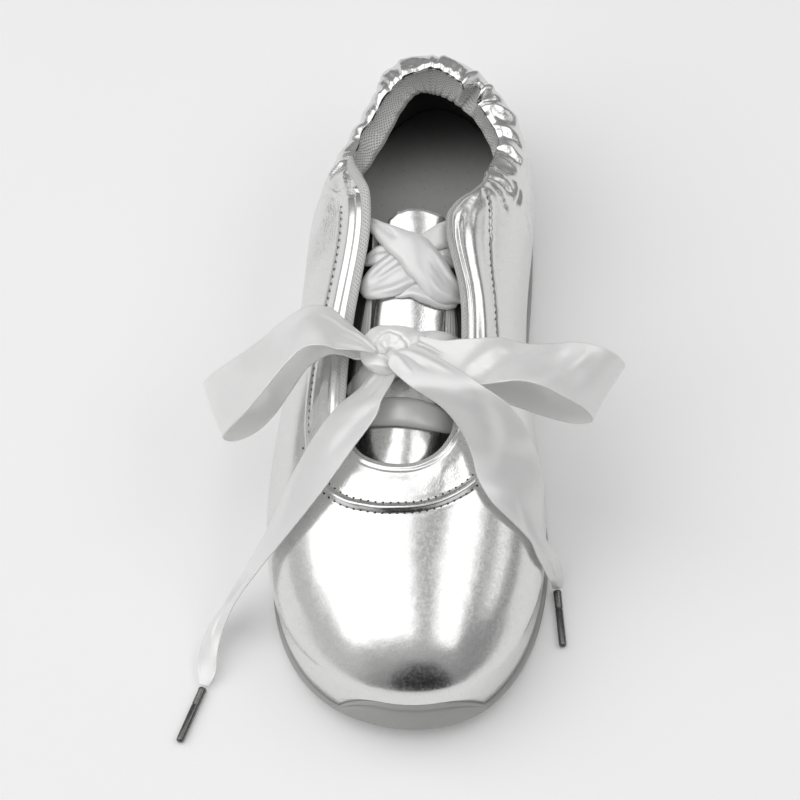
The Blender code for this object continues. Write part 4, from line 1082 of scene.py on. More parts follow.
def make_lining(finish, inner):
    """Padded knit lining of the collar, running out as a thin lining down the throat."""
    depths = np.concatenate([np.arange(0, 22, 0.7), np.arange(22, 29, 1.4)])
    where, run, depth, base, out, down = wall_grid(depths, 12, 8.0)
    collar = collar_share(run)
    padded = THIN + np.maximum(profile(PAD, depth) - THIN, 0) * profile(PAD_SHARE, run)
    thick = padded * collar + profile(PAD_THROAT, depth) * (1 - collar)
    thick = thick - gathered(run, depth, 1.0, 0.5, 3.0) * (1 - smoothstep(6, 13, depth)) * collar
    start = SKIN["points"][0] - out[0] * 0.42 + down * 0.05
    inside = base - out * thick[..., None]
    inside[0] = start - out[0] * 0.3
    fade = smoothstep(-0.1, 3.0, depth)[..., None]
    edge = start[None] - out * 0.6 + down[None] * depth[..., None] * 0.8
    inside = inside * fade + edge * (1 - fade)
    back = (base - out * LINING_BACK)[::LINING_STEP]
    floor = platform(OUTLINE(where)[:, 1]) + GAP + 0.4
    skirt, used = [], []
    for reach, share, cloth in SKIRT:
        foot = np.column_stack([inset(where, RIM + GAP + reach), floor])
        skirt.append(inside[-1] + (foot - inside[-1]) * share)
        used.append(depth[-1] + cloth)
    inside = np.concatenate([inside, skirt])
    depth = np.concatenate([depth, used])
    loops = np.concatenate([inside, back[::-1]])
    faces = grid_faces(len(loops), len(where), wrap_cols=True, wrap_rows=True)
    closed = np.concatenate([loops, loops[:1]])
    down_cloth = run_along(np.concatenate([closed, closed[:, :1]], axis=1))
    along = np.broadcast_to(np.append(TOP_RUN(where), TOP_GIRTH), down_cloth.shape)
    made = build("collar_lining", place(loops), faces[:, ::-1], finish,
                 weave=grid_weave(along, down_cloth)[:, ::-1])
    run = run[0]
    # Painted shade for the knit: dark in the troughs of the gathers near the edge, and darker
    # deeper down inside, most at the heel.
    heel = smoothstep(176.0, 186.0, run) * (1 - smoothstep(200.0, 212.0, run))
    pleats = 0.6 * gathered(run, depth, 0.55, 1.5, 5.0)
    pleats += (0.15 + 0.35 * heel) * smoothstep(5.0, 12.0, depth)
    mark(made, "pleat_shade", np.concatenate([np.clip(pleats, 0, 0.8), np.zeros(back.shape[:2])]))
    made.data.materials.append(inner)
    low = np.zeros(loops.shape[:2], int)
    low[:len(inside)] = (depth.mean(1) > 21.0)[:, None]
    made.data.polygons.foreach_set("material_index", low.ravel())


# Half width and half thickness of the knit binding, by run, on the lateral and on the medial side.
BINDING = ((0, 0.7, 0.55), (18, 0.75, 0.55), (34, 1.2, 0.7), (60, 1.5, 0.8), (95, 1.9, 0.9),
           (113, 2.1, 1.1), (126, 2.3, 1.4), (136, 1.5, 1.1), (142, 0.4, 0.4))
BINDING_MEDIAL = ((247, 0.4, 0.4), (252, 0.6, 0.5), (262, 0.65, 0.5), (282, 0.8, 0.6),
                  (296, 1.2, 0.8), (320, 1.2, 0.75), (346, 1, 0.65), (362, 0.75, 0.55),
                  (379.4, 0.7, 0.55))
BINDING_FROM, BINDING_TO = 247.0, 142.0      # run along the top edge where the tape starts and ends


def make_binding(finish):
    """Knit tape bound over the throat's edge, from collar to collar."""
    run = (BINDING_FROM + np.arange(0, BINDING_TO + (TOP_GIRTH - BINDING_FROM), 0.8)) % TOP_GIRTH
    fine = np.linspace(0, GIRTH, 4001)[:-1]
    rows = wall_points(np.interp(run, TOP_RUN(fine), fine), (0.0, 1.0), (1.0,))
    down = unit(rows[1] - rows[0])
    out = unit(np.cross(unit(np.gradient(rows[0], axis=0)), down))
    inward, up = edge_shift(run)
    medial = run > TOP_GIRTH / 2
    half, thick = (np.where(medial, profile(BINDING_MEDIAL, run, k), profile(BINDING, run, k))
                   for k in (1, 2))
    middle = rows[0] + levelled(down) * inward[:, None] + down * (half * 0.35)[:, None] + out * 0.25
    middle[:, 2] += up
    angles = np.linspace(0, 2 * math.pi, 18)[:-1]
    rings = (middle[:, None] + down[:, None] * (1.15 * half[:, None] * np.cos(angles))[..., None]
             + out[:, None] * (thick[:, None] * np.sin(angles))[..., None])
    tube("throat_binding", place(rings), finish, weave_width=9.0)


# ---------------------------------------------------------------- sole and insole
SOLE_PER_STATION = 12
LEDGE = 1.1              # how much wider than the rim the ledge under the leather is
SOLE_BEVEL = 0.9         # height of the rounded foot of the sidewall
# The sole's section, from the tread up to the cup's floor: inset from the outline, and height over
# the ground, over the sidewall's foot, as a share of the sidewall, over the rim or over the cup's
# floor.
SOLE_SECTION = ((7, "ground", 0.9), (3.6, "ground", 0.05), (2.2, "ground", 0), (1.3, "foot", 0.25),
                (0.7, "foot", 0.9), (0.30, "foot", 2), (0.12, "side", 0.24), (0.02, "side", 0.38),
                (0, "side", 0.52), (0.05, "side", 0.64), (0.22, "rim", -4.6), (0.5, "rim", -4.1),
                (1, "rim", -3.7), (1.05, "rim", -3.4), (0.8, "rim", -3), (0.55, "rim", -2.3),
                (0.5, "rim", -1.5), (0.62, "rim", -0.8), (0.95, "rim", -0.25), (1.45, "rim", 0.02),
                (2.1, "rim", 0), (RIM - 0.25, "rim", -0.05), (RIM, "rim", -0.4), (RIM, "cup", 0))
BASE_ROWS = 5            # rows of the section that its bare height does not change
GROOVE_ROWS = (10, 18)   # rows of the groove and lip, which run out to the sides
RUNG_STEPS = 24          # points across the tread
RUNG_PITCH, RUNG_RISE = 5.2, 0.9


def tread_height(x, t):
    """Underside of the sole, with waved rungs."""
    wave = np.cos(t / RUNG_PITCH * 2 * math.pi + 1.2 * np.cos(x / 9.0))
    return ground(t) + np.where(wave > 0, RUNG_RISE, 0.0)


def make_sole(finish):
    """Cup sole: rounded foot, sidewall with a shallow groove, toe bumper, lip and tread."""
    where = columns(SOLE_PER_STATION)
    t = OUTLINE(where)[:, 1]
    low = ground(t)
    top = platform(t) + CUP_DEPTH + BUMPER_LIFT
    bare = rubber_top(where) - low
    foot = low + SOLE_BEVEL
    squeeze = (bare - SOLE_BEVEL) / (top - foot)
    moulded = smoothstep(6.0, 14.0, bare)
    loops = []
    for k, (inward, base, rise) in enumerate(SOLE_SECTION):
        reach = np.full(len(where), inward)
        if GROOVE_ROWS[0] <= k < GROOVE_ROWS[1]:
            reach = 0.35 + (reach - 0.35) * moulded
        if k >= len(SOLE_SECTION) - 3:
            reach = reach + LEDGE
        ring = inset(where, reach)
        height = {"ground": ground(ring[:, 1]) + rise, "foot": low + rise, "rim": top + rise,
                  "side": low + rise * (top - low), "cup": platform(t) + rise}[base]
        if BASE_ROWS <= k < len(SOLE_SECTION) - 1:
            height = foot + (height - foot) * squeeze
        loops.append(np.column_stack([ring, height]))
    count = len(where)
    half = count // 2
    across = np.linspace(0, 1, RUNG_STEPS + 1)[1:-1, None]
    # The tread's rungs join partners of the innermost loop.
    rungs = [loops[0][k] * (1 - across) + loops[0][count - k] * across for k in range(1, half)]
    for rung in rungs:
        rung[:, 2] = tread_height(rung[:, 0], rung[:, 1])
    first = len(loops) * count

    def corner(k, j):
        """Number of the point j steps along rung k."""
        if j in (0, RUNG_STEPS):
            return count - k if j else k
        return first + (k - 1) * (RUNG_STEPS - 1) + j - 1

    faces = grid_faces(len(loops), count, wrap_cols=True)[:, ::-1].tolist()
    for k in range(1, half - 1):
        faces += [(corner(k, j), corner(k + 1, j), corner(k + 1, j + 1), corner(k, j + 1))
                  for j in range(RUNG_STEPS)]
    faces += [(0, corner(1, j), corner(1, j + 1)) for j in range(RUNG_STEPS)]
    faces += [(corner(half - 1, j), half, corner(half - 1, j + 1)) for j in range(RUNG_STEPS)]
    faces += lid(first - count, count)
    build("sole", place(np.concatenate(loops + rungs)), faces, finish, ("outsole",))


# The footbed's section: inset from its edge, and height over the cup's floor.
FOOTBED_SECTION = ((0, 0.4), (0, 2.6), (0.5, 3.5), (1.6, 3.9), (4, 3.6), (8, 3.1), (13, 2.8))


def make_footbed(finish):
    """Footbed, a little dished, with a rounded edge."""
    where = columns(SOLE_PER_STATION)
    edge = RIM + GAP + WALL + GAP + 0.4
    rings = [inset(where, edge + inward) for inward, _ in FOOTBED_SECTION]
    loops = [np.column_stack([ring, platform(ring[:, 1]) + rise])
             for ring, (_, rise) in zip(rings, FOOTBED_SECTION)]
    count = len(where)
    faces = grid_faces(len(loops), count, wrap_cols=True)[:, ::-1].tolist()
    faces += lid((len(loops) - 1) * count, count)
    build("footbed", place(loops), faces, finish, ("insole",))


# ---------------------------------------------------------------- tongue and gores
def tongue_top(t, side):
    """Height of the tongue's upper face; side runs from -1 to 1 across it."""
    return open_curve(TONGUE, "crown", t) - TONGUE_DROP * side ** 2


def shell(name, top, thick, finish, nodes=(), weave=True):
    """Sheet of even thickness under a grid of points in millimetres, with its cloth measured along
    both of its middle lines."""
    up = unit(np.cross(np.gradient(top, axis=1), np.gradient(top, axis=0)))
    cloth = None
    if weave:
        places = run_along(top[len(top) // 2])
        width = places[-1] + thick
        cloth = grid_weave(np.concatenate([places, width + places, [2 * width]]),
                           run_along(top[:, top.shape[1] // 2]))
    return sheet(name, top, top - up * thick, finish, nodes, cloth)


# Share of the solid's half width by t, lateral and medial.
TONGUE_SIDES = ((66, 1.5, 1.5), (76, 1.25, 1.25), (88, 1.08, 1.08), (104, 1, 1), (120, 0.93, 1),
                (135, 0.86, 1), (148, 0.74, 1.08), (162, 0.70, 1.12))
# How far the tongue's end falls short of the solid's, by place across it.
TONGUE_END = ((-1, 4.6), (-0.75, 2.9), (-0.4, 1.2), (0, 0.3), (0.35, 0), (0.75, 0.4), (1, 1.6))


def make_tongue(finish):
    """Leather tongue: soft crown that rolls down at both sides, an uneven arch for its end."""
    sides = np.linspace(-1, 1, 61)
    shares = np.linspace(0, 1, 120)
    first, last = TONGUE[0].t, TONGUE[-1].t
    grid = np.empty((len(shares), len(sides), 3))
    for c, side in enumerate(sides):
        reach = last - profile(TONGUE_END, side) - 3.2 * smoothstep(0.86, 1.0, abs(side))
        t = first + shares * (reach - first)
        beside = side * profile(TONGUE_SIDES, t, 1 if side < 0 else 2)
        x = open_curve(TONGUE, "x", t) + beside * open_curve(TONGUE, "half", t)
        grid[:, c] = np.column_stack([x, t, tongue_top(t, beside) - 1.7 * abs(side) ** 7])
    t, side = grid[..., 1], np.broadcast_to(sides, grid.shape[:2])
    from_end = last - profile(TONGUE_END, side) - t
    # A rolled end with a groove along it, faint waves, a bulge behind the knot and a dip under it.
    grid[..., 2] -= 0.5 * np.exp(-(np.clip(from_end, 0, None) / 0.7) ** 2)
    grid[..., 2] -= 0.10 * np.exp(-((from_end - 2.2) / 0.35) ** 2)
    grid[..., 2] += 0.25 * waves(side * 12 + 0.05 * t, ((19.0, 0.5, 0.1), (11.0, 0.16, 0.4)))
    grid[..., 2] += 0.5 * np.exp(-((t - 128) / 7.0) ** 2) - 0.5 * np.exp(-((t - 112) / 6.0) ** 2)
    made = shell("tongue_leather", grid, 1.8, finish, ("tongue",), weave=False)
    crinkled = 0.22 * np.exp(-((side - 0.42) / 0.2) ** 2 - ((t - 122) / 12) ** 2)
    mark(made, "crinkle", np.concatenate([crinkled, np.zeros(crinkled.shape)], axis=1))


RIB_PITCH, RIB_HEIGHT = 1.25, 0.22


def make_gore(name, sign, finish):
    """Ribbed elastic from under a facing to the tongue's side; sign -1 is the lateral one."""
    where = columns(COLUMNS_PER_STATION)
    depths = (1.0, 3.0, 5.5, 8.0, 10.0)
    drops = (5.6, 4.4, GAP)
    ring = wall_points(where, depths, (1.0,))
    out = surface_normals(ring)
    t = ring[0, :, 1]
    beside = sign * (ring[0, :, 0] - TONGUE[3].x) > 0
    side = np.nonzero(beside & (t > GORE_FROM) & (t < GORE_TO))[0]
    side = side[np.argsort(t[side])]
    t = t[side]
    edge_x = open_curve(TONGUE, "x", t) + sign * (open_curve(TONGUE, "half", t) + GAP + 0.3)
    tongue_edge = np.column_stack([edge_x, t, tongue_top(t, 1.0) - 0.6])
    under = [(ring[k] - out[k] * (WALL + drops[k - 1]))[side] for k in (1, 2, 3)]
    rows = [tongue_edge, (tongue_edge + under[0]) / 2] + under
    grid = np.array(rows[::sign]).transpose(1, 0, 2)
    grid = smooth_rows(smooth_rows(grid, 5).transpose(1, 0, 2), 16).transpose(1, 0, 2)
    ribs = RIB_HEIGHT * np.cos(run_along(grid[len(grid) // 2]) / RIB_PITCH * 2 * math.pi)
    up = unit(np.cross(np.gradient(grid, axis=1), np.gradient(grid, axis=0)))
    grid = grid + up * (ribs[None, :, None] - 0.05)
    made = shell("%s_ribbed" % name, grid, 0.8, finish, (name,))
    # Painted shade across the gore, from none at the tongue's edge to full under the facing.
    gap_shade_share = np.tile(np.linspace(0, 1, grid.shape[1])[::sign], (len(grid), 1))
    mark(made, "gap_shade", np.concatenate([gap_shade_share, gap_shade_share[:, ::-1]], axis=1))


# ---------------------------------------------------------------- ribbons
CLOTH = 0.34             # thickness of the satin
SELVAGE = 0.16           # extra thickness of its woven edges
TOOTH = 0.03             # fine serration of those edges
WEAVE_HALF = 10.5        # half width of the flat cloth


def ribbon_route(rows, per_row):
    """Middle of a ribbon and its half width as a vector, along the route."""
    middle = smooth_rows([(row.x, row.t, row.z) for row in rows], per_row)
    reach = []
    for row in rows:
        turn, tilt = math.radians(row.turn), math.radians(row.tilt)
        direction = (math.cos(turn), math.sin(turn), math.tan(tilt))
        reach.append([row.width / 2 * math.cos(tilt) * part for part in direction])
    return middle, smooth_rows(reach, per_row)


def make_ribbon(node, rows, creases, cup, finish):
    """Satin ribbon. creases are lines of (length from the first end, place across); cup is how far
    its middle stands off the line between its edges, by share of its length."""
    middle, reach = ribbon_route(rows, 18)
    length = run_along(middle)
    across = unit(reach)
    face = unit(np.cross(unit(np.gradient(middle, axis=0)), across))
    places = np.linspace(-1, 1, 43)
    off_middle = np.linalg.norm(reach, axis=1)[:, None] * places
    lift = profile(cup, length / length[-1])[:, None] * (1 - places ** 2)
    lift = lift + relief(creases, np.broadcast_to(length[:, None], off_middle.shape), off_middle)
    grid = middle[:, None] + reach[:, None] * places[:, None] + face[:, None] * lift[..., None]
    tooth = TOOTH * np.sign(np.sin(np.arange(len(middle)) * math.pi / 2 + 0.4))
    grid[:, 0] -= across * tooth[:, None]
    grid[:, -1] += across * tooth[:, None]
    up = unit(np.cross(np.gradient(grid, axis=1), np.gradient(grid, axis=0)))
    thick = (CLOTH + SELVAGE * smoothstep(0.93, 0.98, np.abs(places)))[:, None]
    weave = grid_weave(np.concatenate([places, 2 + places, [3.0]]) * WEAVE_HALF, length)
    return sheet("ribbon_%s" % node, grid + up * thick / 2, grid - up * thick / 2, finish,
                 (node,), weave)


AGLET_LIFT = 0.1         # clearance over the floor
# The aglet's radius by share of its length: end, crimp, neck, barrel and rounded tip.
AGLET_SECTION = ((0, 0.80), (0.01, 1), (0.03, 1.06), (0.05, 1.06), (0.065, 0.97), (0.30, 0.97),
                 (0.315, 0.90), (0.33, 0.90), (0.345, 0.97), (0.93, 0.95), (0.97, 0.88),
                 (0.99, 0.7), (1, 0.35))


def make_aglet(row, finish):
    """Rolled metal tip: a tube with a lap seam, a crimp and a rounded free end."""
    middle = AGLET_RADIUS + AGLET_LIFT
    start, end = place([(row.x0, row.t0, middle), (row.x1, row.t1, middle)])
    run = end - start
    ahead = unit(run)
    side = unit(np.cross(ahead, (0.0, 0.0, 1.0)))
    over = np.cross(side, ahead)
    angles = np.linspace(0, 2 * math.pi, 33)[:-1, None]
    rings = []
    for share, size in AGLET_SECTION:
        radius = AGLET_RADIUS * MM * size * (1 - 0.05 * np.exp(-((angles - 1.2) / 0.12) ** 2))
        rings.append(start + run * share + radius * (side * np.cos(angles) + over * np.sin(angles)))
    return tube("%s_metal" % row.name, np.array(rings), finish, (row.name,))


# Folds of each ribbon, and how far its middle stands proud.
LOOP_LATERAL_FOLDS = [Crease(*row) for row in (
    (0.55, 0.5, 1.4, ((0, -0.6), (6, -1.8), (14, -3.4), (24, -5.6))),
    (-0.45, 0.6, 1, ((1, 0.4), (7, 1.2), (13, 1.6))),
    (0.4, 0.8, 0.8, ((2, 1.6), (9, 4.4), (16, 6.4))), (0.8, 3.2, 3.2, ((17, 9), (23, 2), (27, -6))),
    (-0.6, 3.4, 3.4, ((12, 6), (17, -1), (20, -8))), (-0.6, 4, 4, ((30, 9), (37, 2), (42, -8))),
    (0.5, 3.5, 3.5, ((44, 8), (50, 0), (54, -8))), (0.7, 1.2, 1.2, ((130, -1), (137, -1.5))),
    (-0.6, 1, 1, ((128, 2), (137, 1.5))),
)]
LOOP_LATERAL_CUP = ((0, 0.3), (0.08, 0.9), (0.2, 1.6), (0.4, 0.7), (0.55, 0.3), (0.8, 0.9),
                    (1, 0.3))
LOOP_MEDIAL_FOLDS = [Crease(*row) for row in (
    (0.6, 0.7, 0.9, ((0, 1), (6, 1.6), (13, 3))), (-0.5, 0.7, 0.7, ((1, -0.6), (7, -1), (14, -1))),
    (0.7, 1.4, 1.6, ((13, 3.4), (17, 5.4), (20, 7.4))),
    (-1, 2.6, 2.6, ((20, 4.6), (29, -3.4), (38, -9.5))),
    (0.9, 3, 3, ((24, 8.6), (35, -1), (45, -9.5))),
    (-0.9, 2.8, 2.8, ((36, 7), (44, -1.6), (52, -9.5))),
    (0.9, 2.6, 2.6, ((43, 9), (52, 0), (59, -9))), (-0.8, 2.6, 2.6, ((52, 6), (58, -2), (63, -9))),
    (0.6, 1.2, 1.2, ((128, 0.5), (134, 0.5))),
)]
LOOP_MEDIAL_CUP = ((0, 0.3), (0.15, 0.8), (0.35, 0.6), (0.6, 0.3), (0.85, 0.8), (1, 0.3))
TAIL_LATERAL_FOLDS = [Crease(*row) for row in (
    (0.6, 1, 1.6, ((0, -1.6), (6, -2.6), (12, -4.4))),
    (-0.5, 0.9, 1.2, ((0, 1), (7, 1.6), (14, 1.6))), (0.45, 2.6, 2.6, ((12, 7), (18, 2), (24, -5))),
    (-0.6, 3.2, 3.2, ((14, 8), (24, 5), (38, 3))), (0.5, 2.6, 2.6, ((46, -8), (58, -2), (72, 1))),
    (0.8, 1.2, 1.6, ((88, -3), (98, -1.4), (108, 0))),
    (-0.8, 1.2, 1.2, ((90, 2), (99, 1.4), (108, 0.8))),
    (0.5, 0.7, 0.7, ((104, 1.6), (112, 0.6), (118, 0.2))),
)]
TAIL_LATERAL_CUP = ((0, 0.3), (0.2, 0.8), (0.6, 0.7), (0.85, 1), (1, 0.3))
TAIL_MEDIAL_FOLDS = [Crease(*row) for row in (
    (0.6, 0.8, 1.2, ((0, -0.4), (6, -2), (13, -4))),
    (-0.5, 0.9, 0.9, ((1, 0.6), (7, 1), (14, 0.6))), (0.5, 1, 1.6, ((3, 1.6), (10, 4), (18, 6))),
    (-0.8, 3, 3, ((24, 7), (36, 2), (50, -3))), (0.7, 2.6, 2.6, ((40, 7), (52, 1), (62, -4))),
    (-0.7, 1.6, 1.6, ((70, 1), (84, 0), (96, 0.6))),
    (0.6, 0.9, 0.9, ((96, 1.2), (104, 0.6), (112, 0.2))),
)]
TAIL_MEDIAL_CUP = ((0, 0.3), (0.2, 0.9), (0.5, 0.6), (0.75, -0.6), (1, 0.2))


# ---------------------------------------------------------------- laces over the tongue
def under_facings(x, t):
    """Highest that a lace may lie where it runs under the facings."""
    where = columns(COLUMNS_PER_STATION)
    edge = TOP(where)
    away = HIGH(where) - edge
    fall = -away[:, 2] / np.linalg.norm(away[:, :2], axis=1)
    limit = np.full(np.shape(x), np.inf)
    for sign in (-1, 1):
        side = np.nonzero((sign * (edge[:, 0] - TONGUE[3].x) > 0) & (edge[:, 1] < GORE_TO + 8))[0]
        side = side[np.argsort(edge[side, 1])]
        line = edge[side]
        beyond = sign * (x - np.interp(t, line[:, 1], line[:, 0])) + 1.2
        lowered = (np.interp(t, line[:, 1], line[:, 2]) - WALL - GAP
                   - np.interp(t, line[:, 1], fall[side]) * beyond)
        limit = np.where(beyond > 0, np.minimum(limit, lowered), limit)
    return limit


# Soft strips of the crossing ribbon, from their lateral ends: both edges (x, t) and the lift of the
# strip over the tongue. A strip is drawn to a point where it turns under.
StripRow = namedtuple("StripRow", "x0 t0 x1 t1 lift")
STRIP_OVER = [StripRow(*row) for row in (
    (-20.6, 156.6, -19.6, 158.2, 0.8), (-18.4, 156.4, -16.2, 158, 1.6),
    (-15.6, 152.9, -12, 155.2, 2.4), (-12.4, 148.2, -8.4, 153.2, 3), (-9.2, 144, -3.7, 151, 3.4),
    (-5.9, 140.8, 0.3, 149.9, 3.6), (-3.2, 137, 3.7, 147.8, 3.7), (-0.3, 134.2, 6.3, 145.4, 3.6),
    (2, 131.6, 9.1, 142.7, 3.4), (4.9, 128.6, 12, 139, 3), (8.9, 128.6, 13.9, 136.4, 2.6),
    (12.4, 130.2, 15.2, 133.6, 2), (15.8, 131.2, 16.6, 132.2, 1.4),
)]
STRIP_UNDER = [StripRow(*row) for row in (
    (-17.8, 132.2, -18.6, 133.4, 1.2), (-16.2, 130.9, -18.9, 135.8, 1.8),
    (-13.2, 129.8, -17.7, 138.6, 2.2), (-9.8, 129.4, -15.2, 140.9, 2.4),
    (-5.8, 130, -11.4, 143.2, 2.4), (-1.4, 132.6, -7, 145.4, 2.2), (1.9, 136, -3.4, 147.6, 2),
    (4, 140.8, 0.2, 149.9, 2.2), (5.6, 145.8, 4.1, 153.2, 2.4), (8.2, 147.9, 7.9, 156.6, 2.2),
    (10.6, 149.4, 10.6, 158.4, 1.4), (13, 150.4, 13.4, 157.8, 0.6),
)]
STRIP_BACK = [StripRow(*row) for row in (
    (-18.4, 143.8, -18.4, 144.4, 0.4), (-17, 142.9, -16.6, 146.6, 0.9),
    (-14.4, 142.4, -13.9, 148.1, 1.2), (-11, 142, -10.6, 147.9, 1.2), (-5, 139.6, -5, 147.6, 0.9),
    (1, 138.6, 1, 146.4, 0.9), (5.6, 140.6, 5.2, 146.3, 1), (8.6, 142.6, 8.2, 147.6, 1.1),
    (11.6, 143, 11.2, 149.4, 0.8), (13.6, 143.6, 13.6, 149.6, 0.2),
)]
STRIP_TURN = [StripRow(*row) for row in (
    (-7, 129.5, -7.2, 130, 0.9), (-4.6, 129.3, -4.4, 131.4, 1.4), (-1.8, 129.4, -1, 133.4, 1.7),
    (1.4, 128.1, 2.6, 134, 1.9), (4.2, 127.5, 6, 132.6, 1.9), (6.8, 127.2, 9.4, 131.8, 1.7),
    (10, 127.9, 12, 131.4, 1.2), (12.8, 129.6, 13.6, 131, 0.6),
)]
STRIP_OVER_FOLDS = [Crease(*row) for row in (
    (0.8, 0.9, 1.6, ((26, 4.6), (34, 4.4), (44, 4.2), (56, 2))),
    (-0.9, 1.1, 1.3, ((30, 1), (37, 1.8), (44, 2), (52, 1))),
    (0.6, 1.4, 1.4, ((28, -3.6), (36, -3), (44, -1.6), (52, -0.2))),
    (-0.7, 1, 1.2, ((4, 0.4), (10, 0.8), (17, 0))),
    (0.4, 1.5, 1.5, ((12, -3.4), (20, -4.2), (26, -5))),
)]
STRIP_UNDER_FOLDS = [Crease(*row) for row in (
    (0.9, 0.9, 1.3, ((1.5, 3), (8, 4.8), (14, 5.6), (20, 5.8))),
    (0.8, 1.3, 0.9, ((1.5, -2.4), (8, -4.6), (14, -5.4), (20, -5.6))),
    (-0.4, 1.2, 1.2, ((4, 0.6), (10, 1.2), (18, 1.4))),
    (0.35, 0.6, 0.6, ((6, 2.2), (12, 2.9), (18, 2.8))),
    (-0.5, 0.9, 0.9, ((34, 1), (40, 0.4), (44, 0))),
)]
STRIP_BACK_FOLDS = [Crease(*row) for row in (
    (-0.5, 0.9, 0.9, ((2, 0.4), (6, 0.8), (10, 0.8))),
    (0.4, 0.9, 0.9, ((26, 1), (30, 0.6), (33, 0.6))),
)]
STRIP_TURN_FOLDS = [Crease(*row) for row in (
    (0.5, 0.9, 1.2, ((4, -1), (9, -1.8), (15, -1.6))),
    (-0.4, 0.9, 0.9, ((5, 0.8), (10, 0.8), (16, 0.4))),
)]


# A plain strip's width and lift, by share of its length.
DRAWN_IN = ((0, 0.12, 0.2), (0.05, 0.42, 0.8), (0.13, 0.72, 1.4), (0.28, 0.95, 1.8), (0.5, 1, 2),
            (0.72, 0.95, 1.8), (0.87, 0.72, 1.4), (0.95, 0.42, 0.8), (1, 0.12, 0.2))


def drawn_in(row):
    """Rows of a plain strip that is gathered to a point at both ends."""
    start, end = np.array([row.x0, row.t0]), np.array([row.x1, row.t1])
    run = unit(end - start)
    across = np.array([-run[1], run[0]])
    rows = []
    for share, width, lift in DRAWN_IN:
        middle, half = start + (end - start) * share, across * row.width * width / 2
        rows.append(StripRow(*(middle - half), *(middle + half), 0.4 + 0.9 * lift + row.layer))
    return rows


def make_strip(name, rows, finish, folds, cup, nodes=()):
    """Soft satin strip over the tongue, with edges that curl under. cup is how far its middle
    stands proud, by share of its length."""
    table = smooth_rows(rows, 12)
    left, right, lift = table[:, 0:2], table[:, 2:4], table[:, 4]
    places = np.linspace(-1, 1, 41)
    middle, reach = (left + right) / 2, (right - left) / 2
    x, t = np.moveaxis(middle[:, None] + reach[:, None] * places[:, None], -1, 0)
    side = (x - open_curve(TONGUE, "x", t)) / open_curve(TONGUE, "half", t)
    length = run_along(middle)
    half = np.linalg.norm(reach, axis=1)
    swell = profile(cup, length / length[-1]) * np.minimum(1, half / 4)
    curl = np.minimum(0.9, half * 0.35)
    height = (tongue_top(t, np.clip(side, -1.35, 1.35)) + lift[:, None]
              + swell[:, None] * (1 - places ** 2) - curl[:, None] * np.abs(places) ** 9)
    along = np.broadcast_to(length[:, None], x.shape)
    height = height + relief(folds, along, half[:, None] * places)
    height = np.minimum(height, under_facings(x, t))
    shell(name, np.stack([x, t, height], axis=-1), 0.5, finish, nodes)


def make_laces(finish):
    """Ribbon over the tongue: three crossing strips and a turned fold high up, plain strips under
    the knot."""
    for name, rows, folds, cup, nodes in (
            ("over", STRIP_OVER, STRIP_OVER_FOLDS,
             ((0, 0.1), (0.2, 0.7), (0.5, 1.1), (0.8, 0.7), (1, 0.1)), ("lace_cross_top",)),
            ("under", STRIP_UNDER, STRIP_UNDER_FOLDS,
             ((0, 0.2), (0.15, -0.9), (0.4, -0.5), (0.6, 0.3), (1, 0.1)), ()),
            ("back", STRIP_BACK, STRIP_BACK_FOLDS, ((0, 0.2), (0.5, 0.4), (1, 0.2)), ()),
            ("turn", STRIP_TURN, STRIP_TURN_FOLDS, ((0, 0.2), (0.5, 0.8), (1, 0.2)), ())):
        make_strip("lace_strip_%s" % name, rows, finish, folds, cup, nodes)
    for row in LACES:
        make_strip("%s_strip_%d" % (row.solid, row.layer), drawn_in(row), finish, (),
                   ((0, 0.1), (0.5, 0.8), (1, 0.1)), () if row.layer else (row.solid,))


# ---------------------------------------------------------------- the knot
KNOT_HOLE = (-7.4, 104.2)        # the pinched hole in its middle
# The curled fold around the hole: bearing in degrees (0 medial, 90 heel) and reach from the hole.
ROSETTE = ((-20, 4.4), (0, 4.6), (25, 5.6), (50, 5.6), (62, 6.2), (80, 6.4), (96, 7), (112, 6.6),
           (126, 6), (140, 5.4), (158, 4.6), (172, 4), (186, 3.6), (200, 2.6))
# Folds of the wrap, as points (x, t) seen from above.
KNOT_FOLDS = [Crease(*row) for row in (
    (-1.3, 1, 1, ((-19.5, 104), (-14, 103.2), (-10, 102.6), (-6.8, 100.6), (-5.6, 98.4))),
    (0.7, 0.8, 1.6, ((-18, 101.4), (-14, 100.6), (-9.6, 99.6), (-6.2, 98.2))),
    (0.5, 1.6, 1, ((-15, 111.5), (-12.4, 114), (-9, 115.6))),
    (-0.7, 0.8, 0.8, ((-3, 104.6), (0.5, 106.6), (4.5, 108.6))),
    (0.6, 1, 1.4, ((-1, 109), (2, 111.4), (5, 112.4))),
    (-0.5, 0.8, 0.8, ((-2.2, 111.5), (0.6, 113.4), (3, 114))),
)]


